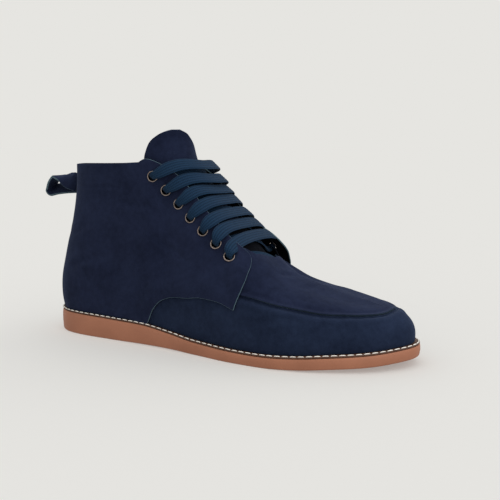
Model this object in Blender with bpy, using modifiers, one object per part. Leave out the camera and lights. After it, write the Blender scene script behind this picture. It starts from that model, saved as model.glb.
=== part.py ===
"""Lace-up moc toe boot for the right foot, standing empty on its wedge sole.

Frame: metres, +Z up. The origin is under the middle of the heel, on the floor.
+X runs to the toe and +Y to the medial side, so the lateral side is at -Y.
Tables give lengths along the boot in sole lengths, widths in ball widths and heights in
collar heights. Every row is one section, and `smooth` runs a curve through the rows.
"""
import math
from collections import namedtuple

import bmesh
import bpy
from mathutils import Matrix, Vector
from mathutils.bvhtree import BVHTree

# Driving dimensions
SOLE_LENGTH = 0.296
BALL_WIDTH = 0.1035
HEEL_REACH = 0.033          # sole's back edge behind the origin
HEEL_HEIGHT = 0.0165        # sole thickness under the heel
FOREFOOT_THICKNESS = 0.0072
ARCH_LIFT = 0.0005
TOE_SPRING = 0.006
COLLAR_HEIGHT = 0.133
INSTEP_HEIGHT = 0.070       # top of the plug, where the throat starts
WALL = 0.0022               # suede and lining together
WELT_THICKNESS = 0.0012
GAP = 0.0003                # between pieces that touch on the real boot
MEDIAL_DROP = 0.0008        # the inner collar is cut a little lower
LATERAL, MEDIAL = -1, 1

# Outsole outline: lateral and medial half widths, in ball widths
Outline = namedtuple("Outline", "along lateral medial")
OUTLINE = [
    Outline(0.000, 0.000, 0.000),
    Outline(0.030, 0.198, 0.198),
    Outline(0.070, 0.271, 0.271),
    Outline(0.130, 0.309, 0.309),
    Outline(0.250, 0.333, 0.309),
    Outline(0.380, 0.362, 0.295),
    Outline(0.500, 0.420, 0.348),
    Outline(0.610, 0.478, 0.449),
    Outline(0.700, 0.493, 0.502),
    Outline(0.780, 0.459, 0.507),
    Outline(0.860, 0.377, 0.449),
    Outline(0.930, 0.256, 0.357),
    Outline(0.975, 0.116, 0.242),
    Outline(1.000, -0.058, 0.058),
]

# Side profile of the sole: share of the arch lift and toe spring under it, and of the heel wedge in it
Profile = namedtuple("Profile", "along arch spring wedge")
PROFILE = [
    Profile(0.000, 0.00, 0.00, 1.00),
    Profile(0.150, 0.00, 0.00, 0.97),
    Profile(0.240, 0.20, 0.00, 0.90),
    Profile(0.330, 1.00, 0.00, 0.77),
    Profile(0.415, 1.00, 0.00, 0.44),
    Profile(0.490, 0.20, 0.00, 0.20),
    Profile(0.565, 0.00, 0.00, 0.10),
    Profile(0.665, 0.00, 0.00, 0.03),
    Profile(0.755, 0.00, 0.09, 0.05),
    Profile(0.840, 0.00, 0.36, 0.08),
    Profile(0.920, 0.00, 0.59, 0.09),
    Profile(1.000, 0.00, 1.00, 0.10),
]

# Wall of the upper: each row is a curve from the feather edge (at `along` on the sole) up to a top
# point on the collar, the facing edge or, past the throat, the shoulder of the plug. The curve leaves
# the feather edge towards low_out, low_up and reaches its top from high_out, high_down.
Wall = namedtuple("Wall", "along top_x top_y top_z low_out low_up high_out high_down ledge")
WALLS = [
    Wall(0.000, 0.0625, 0.000, 1.000, 0.082, 0.256, -0.014, 0.361, 0.0200),
    Wall(0.030, 0.0794, 0.150, 1.000, 0.077, 0.256, -0.014, 0.361, 0.0200),
    Wall(0.105, 0.1216, 0.251, 1.002, 0.058, 0.256, -0.019, 0.361, 0.0200),
    Wall(0.195, 0.1926, 0.295, 1.010, 0.048, 0.271, -0.029, 0.346, 0.0200),
    Wall(0.285, 0.2669, 0.300, 1.015, 0.043, 0.286, -0.019, 0.331, 0.0220),
    Wall(0.322, 0.3066, 0.294, 1.018, 0.043, 0.286, -0.008, 0.323, 0.0238),
    Wall(0.345, 0.3311, 0.288, 1.041, 0.043, 0.286, 0.000, 0.316, 0.0250),
    Wall(0.410, 0.4054, 0.232, 0.966, 0.043, 0.286, 0.039, 0.256, 0.0280),
    Wall(0.515, 0.5169, 0.246, 0.733, 0.043, 0.256, 0.106, 0.135, 0.0310),
    Wall(0.625, 0.6250, 0.265, 0.535, 0.039, 0.256, 0.145, 0.053, 0.0340),
    Wall(0.700, 0.6892, 0.213, 0.426, 0.034, 0.233, 0.164, 0.030, 0.0370),
    Wall(0.780, 0.7568, 0.164, 0.366, 0.029, 0.207, 0.174, 0.020, 0.0385),
    Wall(0.860, 0.8243, 0.121, 0.326, 0.024, 0.173, 0.155, 0.015, 0.0385),
    Wall(0.930, 0.8750, 0.072, 0.304, 0.024, 0.141, 0.126, 0.012, 0.0385),
    Wall(0.975, 0.9054, 0.000, 0.293, 0.024, 0.126, 0.106, 0.012, 0.0385),
    Wall(1.000, 0.9223, -0.063, 0.286, 0.024, 0.119, 0.097, 0.012, 0.0385),
]
THROAT_ROW = 9              # the facing ends here and the crown of the vamp begins

# Ridge of the vamp, one row for each wall row from the throat to the toe; heights in instep heights
Ridge = namedtuple("Ridge", "x y z")
RIDGES = [
    Ridge(0.6351, 0.000, 1.000),
    Ridge(0.6858, 0.010, 0.843),
    Ridge(0.7399, 0.029, 0.750),
    Ridge(0.7905, 0.043, 0.680),
    Ridge(0.8311, 0.053, 0.633),
    Ridge(0.8581, 0.058, 0.607),
    Ridge(0.8750, 0.063, 0.592),
]


def station(along):
    """Even steps of this value crowd together at heel and toe, where the outline turns."""
    return math.acos(1.0 - 2.0 * along) / math.pi


def smooth(keys, values, key, level_start=False, level_end=False):
    """A curve through the rows that never overshoots between two of them."""
    last = len(keys) - 1
    steps = [keys[i + 1] - keys[i] for i in range(last)]
    rises = [(values[i + 1] - values[i]) / steps[i] for i in range(last)]
    i = 0
    while i < last - 1 and key > keys[i + 1]:
        i += 1

    def slope(k):
        if k == 0:
            return 0.0 if level_start else rises[0]
        if k == last:
            return 0.0 if level_end else rises[-1]
        if rises[k - 1] * rises[k] <= 0.0:
            return 0.0
        before = 2.0 * steps[k] + steps[k - 1]
        after = steps[k] + 2.0 * steps[k - 1]
        return (before + after) / (before / rises[k - 1] + after / rises[k])

    t = (key - keys[i]) / steps[i]
    ease = t * t * (3.0 - 2.0 * t)
    start_pull = t * (1.0 - t) ** 2 * steps[i] * slope(i)
    end_pull = -t * t * (1.0 - t) * steps[i] * slope(i + 1)
    return values[i] + (values[i + 1] - values[i]) * ease + start_pull + end_pull


def column(rows, name):
    return [getattr(row, name) for row in rows]


OUTLINE_KEYS = [station(row.along) for row in OUTLINE]
PROFILE_KEYS = column(PROFILE, "along")
WALL_KEYS = [station(row.along) for row in WALLS]
RIDGE_KEYS = WALL_KEYS[THROAT_ROW:]
THROAT = WALL_KEYS[THROAT_ROW]


def along_at(key):
    return (1.0 - math.cos(math.pi * key)) / 2.0


def outline_point(key, side):
    """Point of the outsole's edge seen from above."""
    name = "medial" if side == MEDIAL else "lateral"
    half = smooth(OUTLINE_KEYS, column(OUTLINE, name), key) * BALL_WIDTH
    return Vector((along_at(key) * SOLE_LENGTH - HEEL_REACH, side * half, 0.0))


def outward(key, side):
    """Unit vector in plan that points out of the outline."""
    if key <= 0.0:
        return Vector((-1.0, 0.0, 0.0))
    if key >= 1.0:
        return Vector((1.0, 0.0, 0.0))
    reach = 1e-3
    ahead = outline_point(min(key + reach, 1.0), side)
    behind = outline_point(max(key - reach, 0.0), side)
    run = (ahead - behind).normalized()
    return Vector((-run.y, run.x, 0.0)) * side


def inset_point(key, side, inset):
    return outline_point(key, side) - outward(key, side) * inset


def sole_bottom(x):
    along = min(max((x + HEEL_REACH) / SOLE_LENGTH, 0.0), 1.0)
    arch = smooth(PROFILE_KEYS, column(PROFILE, "arch"), along)
    spring = smooth(PROFILE_KEYS, column(PROFILE, "spring"), along)
    return ARCH_LIFT * arch + TOE_SPRING * spring


def sole_top(x):
    along = min(max((x + HEEL_REACH) / SOLE_LENGTH, 0.0), 1.0)
    wedge = smooth(PROFILE_KEYS, column(PROFILE, "wedge"), along)
    return sole_bottom(x) + FOREFOOT_THICKNESS + (HEEL_HEIGHT - FOREFOOT_THICKNESS) * wedge


# The upper stands on the welt
WELT_TOP = GAP + WELT_THICKNESS
FEATHER_LIFT = WELT_TOP + GAP


def wall_value(name, key):
    return smooth(WALL_KEYS, column(WALLS, name), key, True, True)


def ridge_value(name, key):
    return smooth(RIDGE_KEYS, column(RIDGES, name), key)


def ridge_point(key):
    return Vector((ridge_value("x", key) * SOLE_LENGTH - HEEL_REACH, ridge_value("y", key) * BALL_WIDTH,
                   ridge_value("z", key) * INSTEP_HEIGHT))


def ridge_slope(key):
    """Rise of the ridge for each metre towards the toe."""
    reach = 1e-3
    run = ridge_point(min(key + reach, 1.0)) - ridge_point(max(key - reach, THROAT))
    return run.z / run.x


def wall_ends(key, side):
    """Feather point, its handle, the top's handle and the top point of one section."""
    out = outward(key, side)
    feather = inset_point(key, side, wall_value("ledge", key) * BALL_WIDTH)
    feather.z = sole_top(feather.x) + FEATHER_LIFT
    half = smooth(WALL_KEYS, column(WALLS, "top_y"), key) * BALL_WIDTH
    if key > THROAT and side == MEDIAL:
        half += 2.0 * ridge_value("y", key) * BALL_WIDTH
    top = Vector((wall_value("top_x", key) * SOLE_LENGTH - HEEL_REACH, side * half,
                  wall_value("top_z", key) * COLLAR_HEIGHT))
    if side == MEDIAL and key < THROAT:
        top.z -= MEDIAL_DROP * math.sin(math.pi * key / THROAT)
    low = feather + out * wall_value("low_out", key) * BALL_WIDTH
    low.z += wall_value("low_up", key) * COLLAR_HEIGHT
    high = top + out * wall_value("high_out", key) * BALL_WIDTH
    high.z -= wall_value("high_down", key) * COLLAR_HEIGHT
    return feather, low, high, top


def bezier(a, b, c, d, t):
    s = 1.0 - t
    return a * s ** 3 + b * 3.0 * s * s * t + c * 3.0 * s * t * t + d * t ** 3


CROWN_PULL = 0.36           # handle length across the plug, as a share of its half width
SHOULDER_DROP = 0.012       # beside the throat's inner corner the plug lies this far under the facing
SHOULDER_LOW = 0.55         # rise on the wall where the drop starts
SHOULDER_START = 0.032      # step in key, from the throat, over which the drop comes in
SHOULDER_END = 0.72         # key where it has run out


def soft(share):
    """0 before 0, 1 after 1, and a soft step between."""
    share = min(max(share, 0.0), 1.0)
    return share * share * (3.0 - 2.0 * share)


def shoulder_drop(key, side, rise):
    """How far the vamp falls away on the medial side, just in front of the throat."""
    if side == LATERAL or key <= THROAT:
        return 0.0
    start = soft((key - THROAT) / SHOULDER_START)
    fade = start * (1.0 - soft((key - THROAT) / (SHOULDER_END - THROAT)))
    share = (rise - SHOULDER_LOW) / (1.0 - SHOULDER_LOW) if rise <= 1.0 else 2.0 - rise
    return SHOULDER_DROP * fade * soft(share)


def last_point(key, side, rise):
    """Outer surface of the upper: rise 0 to 1 is the wall, 1 to 2 the crown of the vamp."""
    feather, low, high, top = wall_ends(key, side)
    drop = Vector((0.0, 0.0, shoulder_drop(key, side, rise)))
    if rise <= 1.0:
        return bezier(feather, low, high, top, rise) - drop
    ridge = ridge_point(key)
    across = Vector((top.x - ridge.x, top.y - ridge.y, 0.0))
    leave = top + (top - high).normalized() * across.length * CROWN_PULL
    arrive = ridge + across * CROWN_PULL
    arrive.z += ridge_slope(key) * across.x * CROWN_PULL
    return bezier(top, leave, arrive, ridge, rise - 1.0) - drop


# Scene helpers

def clear_scene():
    for item in list(bpy.data.objects):
        bpy.data.objects.remove(item, do_unlink=True)


def new_collection(name):
    made = bpy.data.collections.new(name)
    bpy.context.scene.collection.children.link(made)
    return made


def material(name, color, roughness, metallic=0.0):
    made = bpy.data.materials.new(name)
    made.use_nodes = True
    shader = made.node_tree.nodes["Principled BSDF"]
    shader.inputs["Base Color"].default_value = (*color, 1.0)
    shader.inputs["Roughness"].default_value = roughness
    shader.inputs["Metallic"].default_value = metallic
    return made


def add_object(name, mesh, look, group):
    made = bpy.data.objects.new(name, mesh)
    group.objects.link(made)
    if look is not None:
        mesh.materials.append(look)
    mesh.shade_smooth()
    mesh.set_sharp_from_angle(angle=math.radians(40))
    return made


def mesh_from(name, bm):
    bmesh.ops.recalc_face_normals(bm, faces=bm.faces)
    mesh = bpy.data.meshes.new(name)
    bm.to_mesh(mesh)
    bm.free()
    return mesh


def ring_keys(steps):
    """Outline stations once round: lateral side from heel to toe, then medial side back."""
    lateral = [(i / steps, LATERAL) for i in range(steps)]
    medial = [(i / steps, MEDIAL) for i in range(steps, 0, -1)]
    return lateral + medial


def bridge(bm, lower, upper):
    count = len(lower)
    for i in range(count):
        j = (i + 1) % count
        bm.faces.new((lower[i], lower[j], upper[j], upper[i]))


def ladder(bm, ring, steps):
    """Flat cover of a ring: one strip across for each step along it."""
    for i in range(steps):
        here = ring[i]
        there = ring[i + 1]
        across_there = ring[2 * steps - i - 1]
        across_here = ring[(2 * steps - i) % (2 * steps)]
        corners = [here, there, across_there, across_here]
        kept = []
        for corner in corners:
            if corner not in kept:
                kept.append(corner)
        if len(kept) > 2:
            bm.faces.new(kept)


OUTLINE_STEPS = 32


def outline_ring(bm, inset, height):
    ring = []
    for key, side in ring_keys(OUTLINE_STEPS):
        point = inset_point(key, side, inset)
        point.z = height(point.x)
        ring.append(bm.verts.new(point))
    return ring


def stacked_plate(name, levels):
    """Closed plate from outline rings, each (inset, height function), lowest first."""
    bm = bmesh.new()
    rings = [outline_ring(bm, inset, height) for inset, height in levels]
    for lower, upper in zip(rings, rings[1:]):
        bridge(bm, lower, upper)
    ladder(bm, rings[0], OUTLINE_STEPS)
    ladder(bm, rings[-1], OUTLINE_STEPS)
    return mesh_from(name, bm)


# Pieces

BOTTOM_EDGE = 0.0014        # small bevel round the tread
SIDE_SWELL = 0.0004         # the side wall bulges by this much
SWELL_SHARE = 0.6           # share of the thickness where it is widest


def make_outsole(group, look):
    """Rubber wedge: flat at heel and tread, lifted at the waist, sprung at the toe."""
    levels = [
        (BOTTOM_EDGE + SIDE_SWELL, sole_bottom),
        (SIDE_SWELL, lambda x: sole_bottom(x) + BOTTOM_EDGE),
        (0.0, lambda x: sole_bottom(x) + SWELL_SHARE * (sole_top(x) - sole_bottom(x))),
        (SIDE_SWELL, sole_top),
    ]
    return add_object("outsole", stacked_plate("outsole", levels), look, group)


WELT_INNER = 0.013          # inset of the strip's inner edge
WELT_ROUND = 0.0005


def make_welt(group, look):
    """Flat strip round the rim of the sole, under the edge of the upper."""
    bm = bmesh.new()
    rings = [
        outline_ring(bm, WELT_INNER, lambda x: sole_top(x) + GAP),
        outline_ring(bm, SIDE_SWELL, lambda x: sole_top(x) + GAP),
        outline_ring(bm, SIDE_SWELL, lambda x: sole_top(x) + WELT_TOP - WELT_ROUND),
        outline_ring(bm, SIDE_SWELL + WELT_ROUND, lambda x: sole_top(x) + WELT_TOP),
        outline_ring(bm, WELT_INNER, lambda x: sole_top(x) + WELT_TOP),
    ]
    for lower, upper in zip(rings, rings[1:] + rings[:1]):
        bridge(bm, lower, upper)
    return add_object("welt", mesh_from("welt", bm), look, group)


INSOLE_THICKNESS = 0.003
INSOLE_INSET = 0.0075


def make_insole(group, look):
    """Footbed inside the upper, lying on the welt's inner edge."""
    levels = [
        (INSOLE_INSET, lambda x: sole_top(x) + FEATHER_LIFT),
        (INSOLE_INSET, lambda x: sole_top(x) + FEATHER_LIFT + INSOLE_THICKNESS),
    ]
    return add_object("insole", stacked_plate("insole", levels), look, group)


QUARTER_COLUMNS = 17
VAMP_COLUMNS = 13
WALL_ROWS = 9
CROWN_ROWS = 4


def upper_keys():
    quarter = [THROAT * i / QUARTER_COLUMNS for i in range(QUARTER_COLUMNS)]
    vamp = [THROAT + (1.0 - THROAT) * i / VAMP_COLUMNS for i in range(VAMP_COLUMNS + 1)]
    return quarter + vamp


def outer_surface():
    """Open mesh of the upper's outside, both halves joined at back seam, ridge and toe."""
    bm = bmesh.new()
    keys = upper_keys()
    last = len(keys) - 1
    rows = WALL_ROWS + CROWN_ROWS
    corners = {}

    def corner(i, j, side):
        on_seam = i in (0, last) or j == rows
        name = (i, j, 0 if on_seam else side)
        if name not in corners:
            rise = j / WALL_ROWS if j <= WALL_ROWS else 1.0 + (j - WALL_ROWS) / CROWN_ROWS
            corners[name] = bm.verts.new(last_point(keys[i], side, rise))
        return corners[name]

    for side in (LATERAL, MEDIAL):
        for i in range(last):
            for j in range(rows if i >= QUARTER_COLUMNS else WALL_ROWS):
                loop = [corner(i, j, side), corner(i + 1, j, side),
                        corner(i + 1, j + 1, side), corner(i, j + 1, side)]
                if side == MEDIAL:
                    loop.reverse()
                bm.faces.new(loop)
    return bm


def solidified(item, thickness):
    shell = item.modifiers.new("wall", "SOLIDIFY")
    shell.thickness = thickness
    shell.offset = -1.0
    shell.use_even_offset = True
    shell.use_quality_normals = True


def make_upper(group, look):
    """Suede upper: one shell, open at the collar, at the throat and underneath."""
    bm = outer_surface()
    mesh = bpy.data.meshes.new("upper")
    bm.to_mesh(mesh)
    bm.free()
    upper = add_object("upper", mesh, look, group)
    solidified(upper, WALL)
    return upper


# Tongue: ridge_x and ridge_z follow its outer face up the front, lean is how far its cross-section
# tips from level, in degrees, radius bends it round the instep, half_width is its cut half width and
# slide is how far its middle lies to the medial side of the front
Fold = namedtuple("Fold", "ridge_x ridge_z lean radius half_width slide")
TONGUE = [
    Fold(0.1580, 0.0618, 58.0, 0.070, 0.0190, -0.0025),
    Fold(0.1510, 0.0675, 52.0, 0.050, 0.0225, -0.0012),
    Fold(0.1368, 0.0822, 48.0, 0.033, 0.0260, 0.0000),
    Fold(0.1212, 0.0975, 46.0, 0.0265, 0.0270, 0.0000),
    Fold(0.1055, 0.1120, 43.0, 0.0236, 0.0300, 0.0000),
    Fold(0.0943, 0.1252, 34.0, 0.0224, 0.0340, -0.0005),
    Fold(0.0880, 0.1380, 20.0, 0.0235, 0.0320, -0.0095),
    Fold(0.0853, 0.1470, 10.0, 0.0248, 0.0235, -0.0145),
    Fold(0.0850, 0.1532, 5.0, 0.0252, 0.0169, -0.0160),
    Fold(0.0855, 0.1570, 2.0, 0.0252, 0.0107, -0.0151),
    Fold(0.0860, 0.1590, 0.0, 0.0252, 0.0038, -0.0136),
]
TONGUE_THICKNESS = 0.0025
TONGUE_ROWS = 24
TONGUE_COLUMNS = 12


def tongue_value(name, rise):
    return smooth([i / (len(TONGUE) - 1) for i in range(len(TONGUE))], column(TONGUE, name), rise)


def tongue_point(rise, across, depth):
    """rise runs 0 to 1 up the tongue, across -1 to 1 over it, depth is measured inward."""
    lean = math.radians(tongue_value("lean", rise))
    inward = Vector((-math.cos(lean), 0.0, -math.sin(lean)))
    radius = tongue_value("radius", rise)
    turn = (across * tongue_value("half_width", rise) + tongue_value("slide", rise)) / radius
    ridge = Vector((tongue_value("ridge_x", rise), 0.0, tongue_value("ridge_z", rise)))
    centre = ridge + inward * radius
    spoke = Vector((0.0, math.sin(turn), 0.0)) - inward * math.cos(turn)
    return centre + spoke * (radius - depth)


def make_tongue(group, look):
    """Tall rounded tongue under the facings, bent round the instep."""
    bm = bmesh.new()
    faces = []
    for depth in (0.0, TONGUE_THICKNESS):
        faces.append([[bm.verts.new(tongue_point(i / TONGUE_ROWS, 2.0 * j / TONGUE_COLUMNS - 1.0, depth))
                       for j in range(TONGUE_COLUMNS + 1)] for i in range(TONGUE_ROWS + 1)])
    for skin in faces:
        for i in range(TONGUE_ROWS):
            for j in range(TONGUE_COLUMNS):
                bm.faces.new((skin[i][j], skin[i][j + 1], skin[i + 1][j + 1], skin[i + 1][j]))
    front, back = faces
    for i in range(TONGUE_ROWS):
        for j in (0, TONGUE_COLUMNS):
            bm.faces.new((front[i][j], front[i + 1][j], back[i + 1][j], back[i][j]))
    for j in range(TONGUE_COLUMNS):
        for i in (0, TONGUE_ROWS):
            bm.faces.new((front[i][j], front[i][j + 1], back[i][j + 1], back[i][j]))
    return add_object("tongue", mesh_from("tongue", bm), look, group)


# Eyelets: a sagging row on each facing, found on the outer surface from the side
EYELET_COUNT = 7
EYELET_TOP = Vector((0.0711, 0.0, 0.1256))
EYELET_BOTTOM = Vector((0.1384, 0.0, 0.0719))
EYELET_SAG = 0.0022
EYELET_BORE = 0.0032
BARREL_RADIUS = 0.00365
FLANGE_RADIUS = 0.0044
FLANGE_THICKNESS = 0.0006
FLANGE_LIFT = 0.0008        # the flange sits proud, because the facing isn't flat
HOLE_CLEARANCE = 0.0004
EYELET_STEPS = 10
HOLE_STEPS = 14
DRILL_LENGTH = 4.0 * WALL


def eyelet_seats(tree):
    """Place and outward direction of each eyelet, top pair first: {(side, number): (point, normal)}."""
    seats = {}
    run = EYELET_BOTTOM - EYELET_TOP
    down = Vector((run.z, 0.0, -run.x)).normalized()
    for number in range(EYELET_COUNT):
        share = number / (EYELET_COUNT - 1)
        aim = EYELET_TOP + run * share + down * EYELET_SAG * 4.0 * share * (1.0 - share)
        for side in (LATERAL, MEDIAL):
            start = Vector((aim.x, side * BALL_WIDTH, aim.z))
            point, normal, _, _ = tree.ray_cast(start, Vector((0.0, -side, 0.0)))
            seats[side, number] = (point, normal)
    return seats


def axis_matrix(point, direction):
    turn = Vector((0.0, 0.0, 1.0)).rotation_difference(direction)
    return Matrix.Translation(point) @ turn.to_matrix().to_4x4()


def eyelet_mesh():
    """Half section of a flanged eyelet, outer side first, to be turned about Z."""
    crown = FLANGE_LIFT + FLANGE_THICKNESS
    profile = [
        (FLANGE_RADIUS - FLANGE_THICKNESS / 2.0, crown),
        (FLANGE_RADIUS, FLANGE_LIFT),
        (BARREL_RADIUS, FLANGE_LIFT),
        (BARREL_RADIUS, -WALL - GAP),
        (EYELET_BORE, -WALL - GAP),
        (EYELET_BORE, crown),
    ]
    mesh = bpy.data.meshes.new("eyelet")
    edges = [(i, (i + 1) % len(profile)) for i in range(len(profile))]
    mesh.from_pydata([(radius, 0.0, height) for radius, height in profile], edges, [])
    return mesh


def make_eyelets(group, look, seats):
    """Seven plain metal eyelets down each facing."""
    mesh = eyelet_mesh()
    for (side, number), (point, normal) in seats.items():
        side_name = "lateral" if side == LATERAL else "medial"
        eyelet = add_object(f"eyelet_{side_name}_{number + 1}", mesh.copy(), look, group)
        eyelet.matrix_world = axis_matrix(point, normal)
        turned = eyelet.modifiers.new("turned", "SCREW")
        turned.steps = EYELET_STEPS
        turned.render_steps = EYELET_STEPS
        turned.merge_threshold = 0.00001
        turned.use_merge_vertices = True


def cut_eyelet_holes(upper, cutters, seats):
    bm = bmesh.new()
    for point, normal in seats.values():
        radius = BARREL_RADIUS + HOLE_CLEARANCE
        bmesh.ops.create_cone(bm, cap_ends=True, segments=HOLE_STEPS, radius1=radius, radius2=radius,
                              depth=DRILL_LENGTH, matrix=axis_matrix(point, normal))
    drill = add_object("eyelet_drill", mesh_from("eyelet_drill", bm), None, cutters)
    drill.hide_render = True
    drill.display_type = "WIRE"
    cut = upper.modifiers.new("eyelet_holes", "BOOLEAN")
    cut.operation = "DIFFERENCE"
    cut.solver = "EXACT"
    cut.object = drill


def ribbon(bm, points, sides, widths, thicknesses):
    """Closed flat band through the points; each side vector says which way its width runs."""
    rings = []
    last = len(points) - 1
    for i, point in enumerate(points):
        run = (points[min(i + 1, last)] - points[max(i - 1, 0)]).normalized()
        side = (sides[i] - run * run.dot(sides[i])).normalized()
        face = run.cross(side)
        half_width = side * widths[i] / 2.0
        half_thickness = face * thicknesses[i] / 2.0
        corners = (half_width + half_thickness, half_thickness - half_width,
                   -half_width - half_thickness, half_width - half_thickness)
        rings.append([bm.verts.new(point + corner) for corner in corners])
    for lower, upper in zip(rings, rings[1:]):
        bridge(bm, lower, upper)
    bm.faces.new(rings[0])
    bm.faces.new(rings[-1])


# Pull loop: strap sewn on the back seam; it leaves standing on edge, rolls flat, bends down and returns.
# roll is 0 where the strap's width is upright and 90 where it lies across the heel
Strap = namedtuple("Strap", "x y z roll")
PULL_LOOP = [
    Strap(-0.0184, -0.0045, 0.1175, 5.0),
    Strap(-0.0240, -0.0060, 0.1190, 25.0),
    Strap(-0.0325, -0.0035, 0.1218, 72.0),
    Strap(-0.0405, -0.0005, 0.1218, 90.0),
    Strap(-0.0480, 0.0010, 0.1175, 80.0),
    Strap(-0.0512, 0.0020, 0.1125, 64.0),
    Strap(-0.0488, 0.0028, 0.1102, 54.0),
    Strap(-0.0415, 0.0034, 0.1120, 50.0),
    Strap(-0.0320, 0.0042, 0.1136, 45.0),
    Strap(-0.0225, 0.0048, 0.1146, 40.0),
]
STRAP_WIDTH = 0.0145
STRAP_THICKNESS = 0.0018
STRAP_STEPS = 30


def make_pull_loop(group, look):
    """Suede finger loop at the back seam."""
    rows = len(PULL_LOOP) - 1
    keys = [i / rows for i in range(rows + 1)]
    points = []
    sides = []
    for step in range(STRAP_STEPS + 1):
        share = step / STRAP_STEPS
        place = [smooth(keys, column(PULL_LOOP, name), share) for name in ("x", "y", "z", "roll")]
        roll = math.radians(place[3])
        points.append(Vector(place[:3]))
        sides.append(Vector((0.0, math.sin(roll), math.cos(roll))))
    bm = bmesh.new()
    count = len(points)
    ribbon(bm, points, sides, [STRAP_WIDTH] * count, [STRAP_THICKNESS] * count)
    return add_object("pull_loop", mesh_from("pull_loop", bm), look, group)


# Lace: one flat ribbon wound up the throat. It comes out of a lateral eyelet, crosses over, goes in at
# the medial eyelet of the same pair and climbs behind the facings to the next lateral eyelet
LACE_WIDTH = 0.0092
LACE_THICKNESS = 0.0015
PINCHED_WIDTH = 0.0040      # in an eyelet the ribbon is bunched
PINCHED_THICKNESS = 0.0019
UNDER_WIDTH = 0.0066        # strands behind the facings are bunched a little
UNDER_LIFT = 0.0018         # middle of such a strand above the tongue
UNDER_STEPS = 10
TAIL = (0.17, 0.95)         # where on the tongue the lower end lies, behind the medial facing
INSIDE_REACH = 0.0041       # the ribbon's middle turns this far behind the facing
OUTSIDE_REACH = 0.0036      # and this far in front of it
EYELET_DEPTHS = (-INSIDE_REACH, -INSIDE_REACH * 0.4, OUTSIDE_REACH * 0.6)
BAR_STEPS = 12
BAR_SPREAD = 1.08           # a bar swings wider than its eyelets, to clear the facing's edge
BAR_LEAD = 0.07             # share of the half turn left out at each end of a bar
MEDIAL_SHOULDER = 0.76      # squareness of the bars' medial halves
UP_THE_THROAT = Vector((-0.78, 0.0, 0.62))
# How far a bar's crest stands forward of and above its eyelets, how square its lateral half is (1 is half
# an ellipse, less is squarer) and how far that half leans up the throat, top bar first
Bar = namedtuple("Bar", "forward rise shoulder lean")
BARS = [
    Bar(0.028, 0.008, 0.90, 0.0040),
    Bar(0.025, 0.008, 0.85, 0.0040),
    Bar(0.019, 0.0095, 0.75, 0.0030),
    Bar(0.0135, 0.0115, 0.80, 0.0010),
    Bar(0.0095, 0.011, 0.80, 0.0005),
    Bar(0.0045, 0.011, 0.80, 0.0010),
    Bar(0.001, 0.010, 0.90, 0.0),
]
TONGUE_SEARCH = 60


def nearest_on_tongue(point):
    """Share up the tongue and across it of the spot nearest to a point."""
    grid = [(i / TONGUE_SEARCH, 2.0 * j / TONGUE_SEARCH - 1.0)
            for i in range(TONGUE_SEARCH + 1) for j in range(TONGUE_SEARCH + 1)]
    return min(grid, key=lambda spot: (tongue_point(*spot, 0.0) - point).length)


def up_the_tongue(rise, across):
    step = 1.0 / TONGUE_SEARCH
    above = tongue_point(min(rise + step, 1.0), across, 0.0)
    return above - tongue_point(max(rise - step, 0.0), across, 0.0)


def bar_points(start, end, bar):
    """Square-shouldered half ellipse from one eyelet of a pair over the throat to the other."""
    middle = (start + end) / 2.0
    crest = Vector((bar.forward, 0.0, bar.rise))
    points = []
    for step in range(BAR_STEPS - 1):
        turn = math.pi * (BAR_LEAD + (1.0 - 2.0 * BAR_LEAD) * step / (BAR_STEPS - 2))
        shoulder = bar.shoulder if math.cos(turn) > 0.0 else MEDIAL_SHOULDER
        across = math.copysign(abs(math.cos(turn)) ** shoulder, math.cos(turn))
        up = math.sin(turn) ** shoulder
        lean = UP_THE_THROAT * bar.lean * max(0.0, math.sin(2.0 * turn)) ** 1.4
        points.append(middle + (start - middle) * BAR_SPREAD * across + crest * up + lean)
    return points


def opened(steps_from_end, first, per_step):
    """Share of its full width that the ribbon has regained this far from an eyelet."""
    return min(1.0, first + per_step * steps_from_end)


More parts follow.
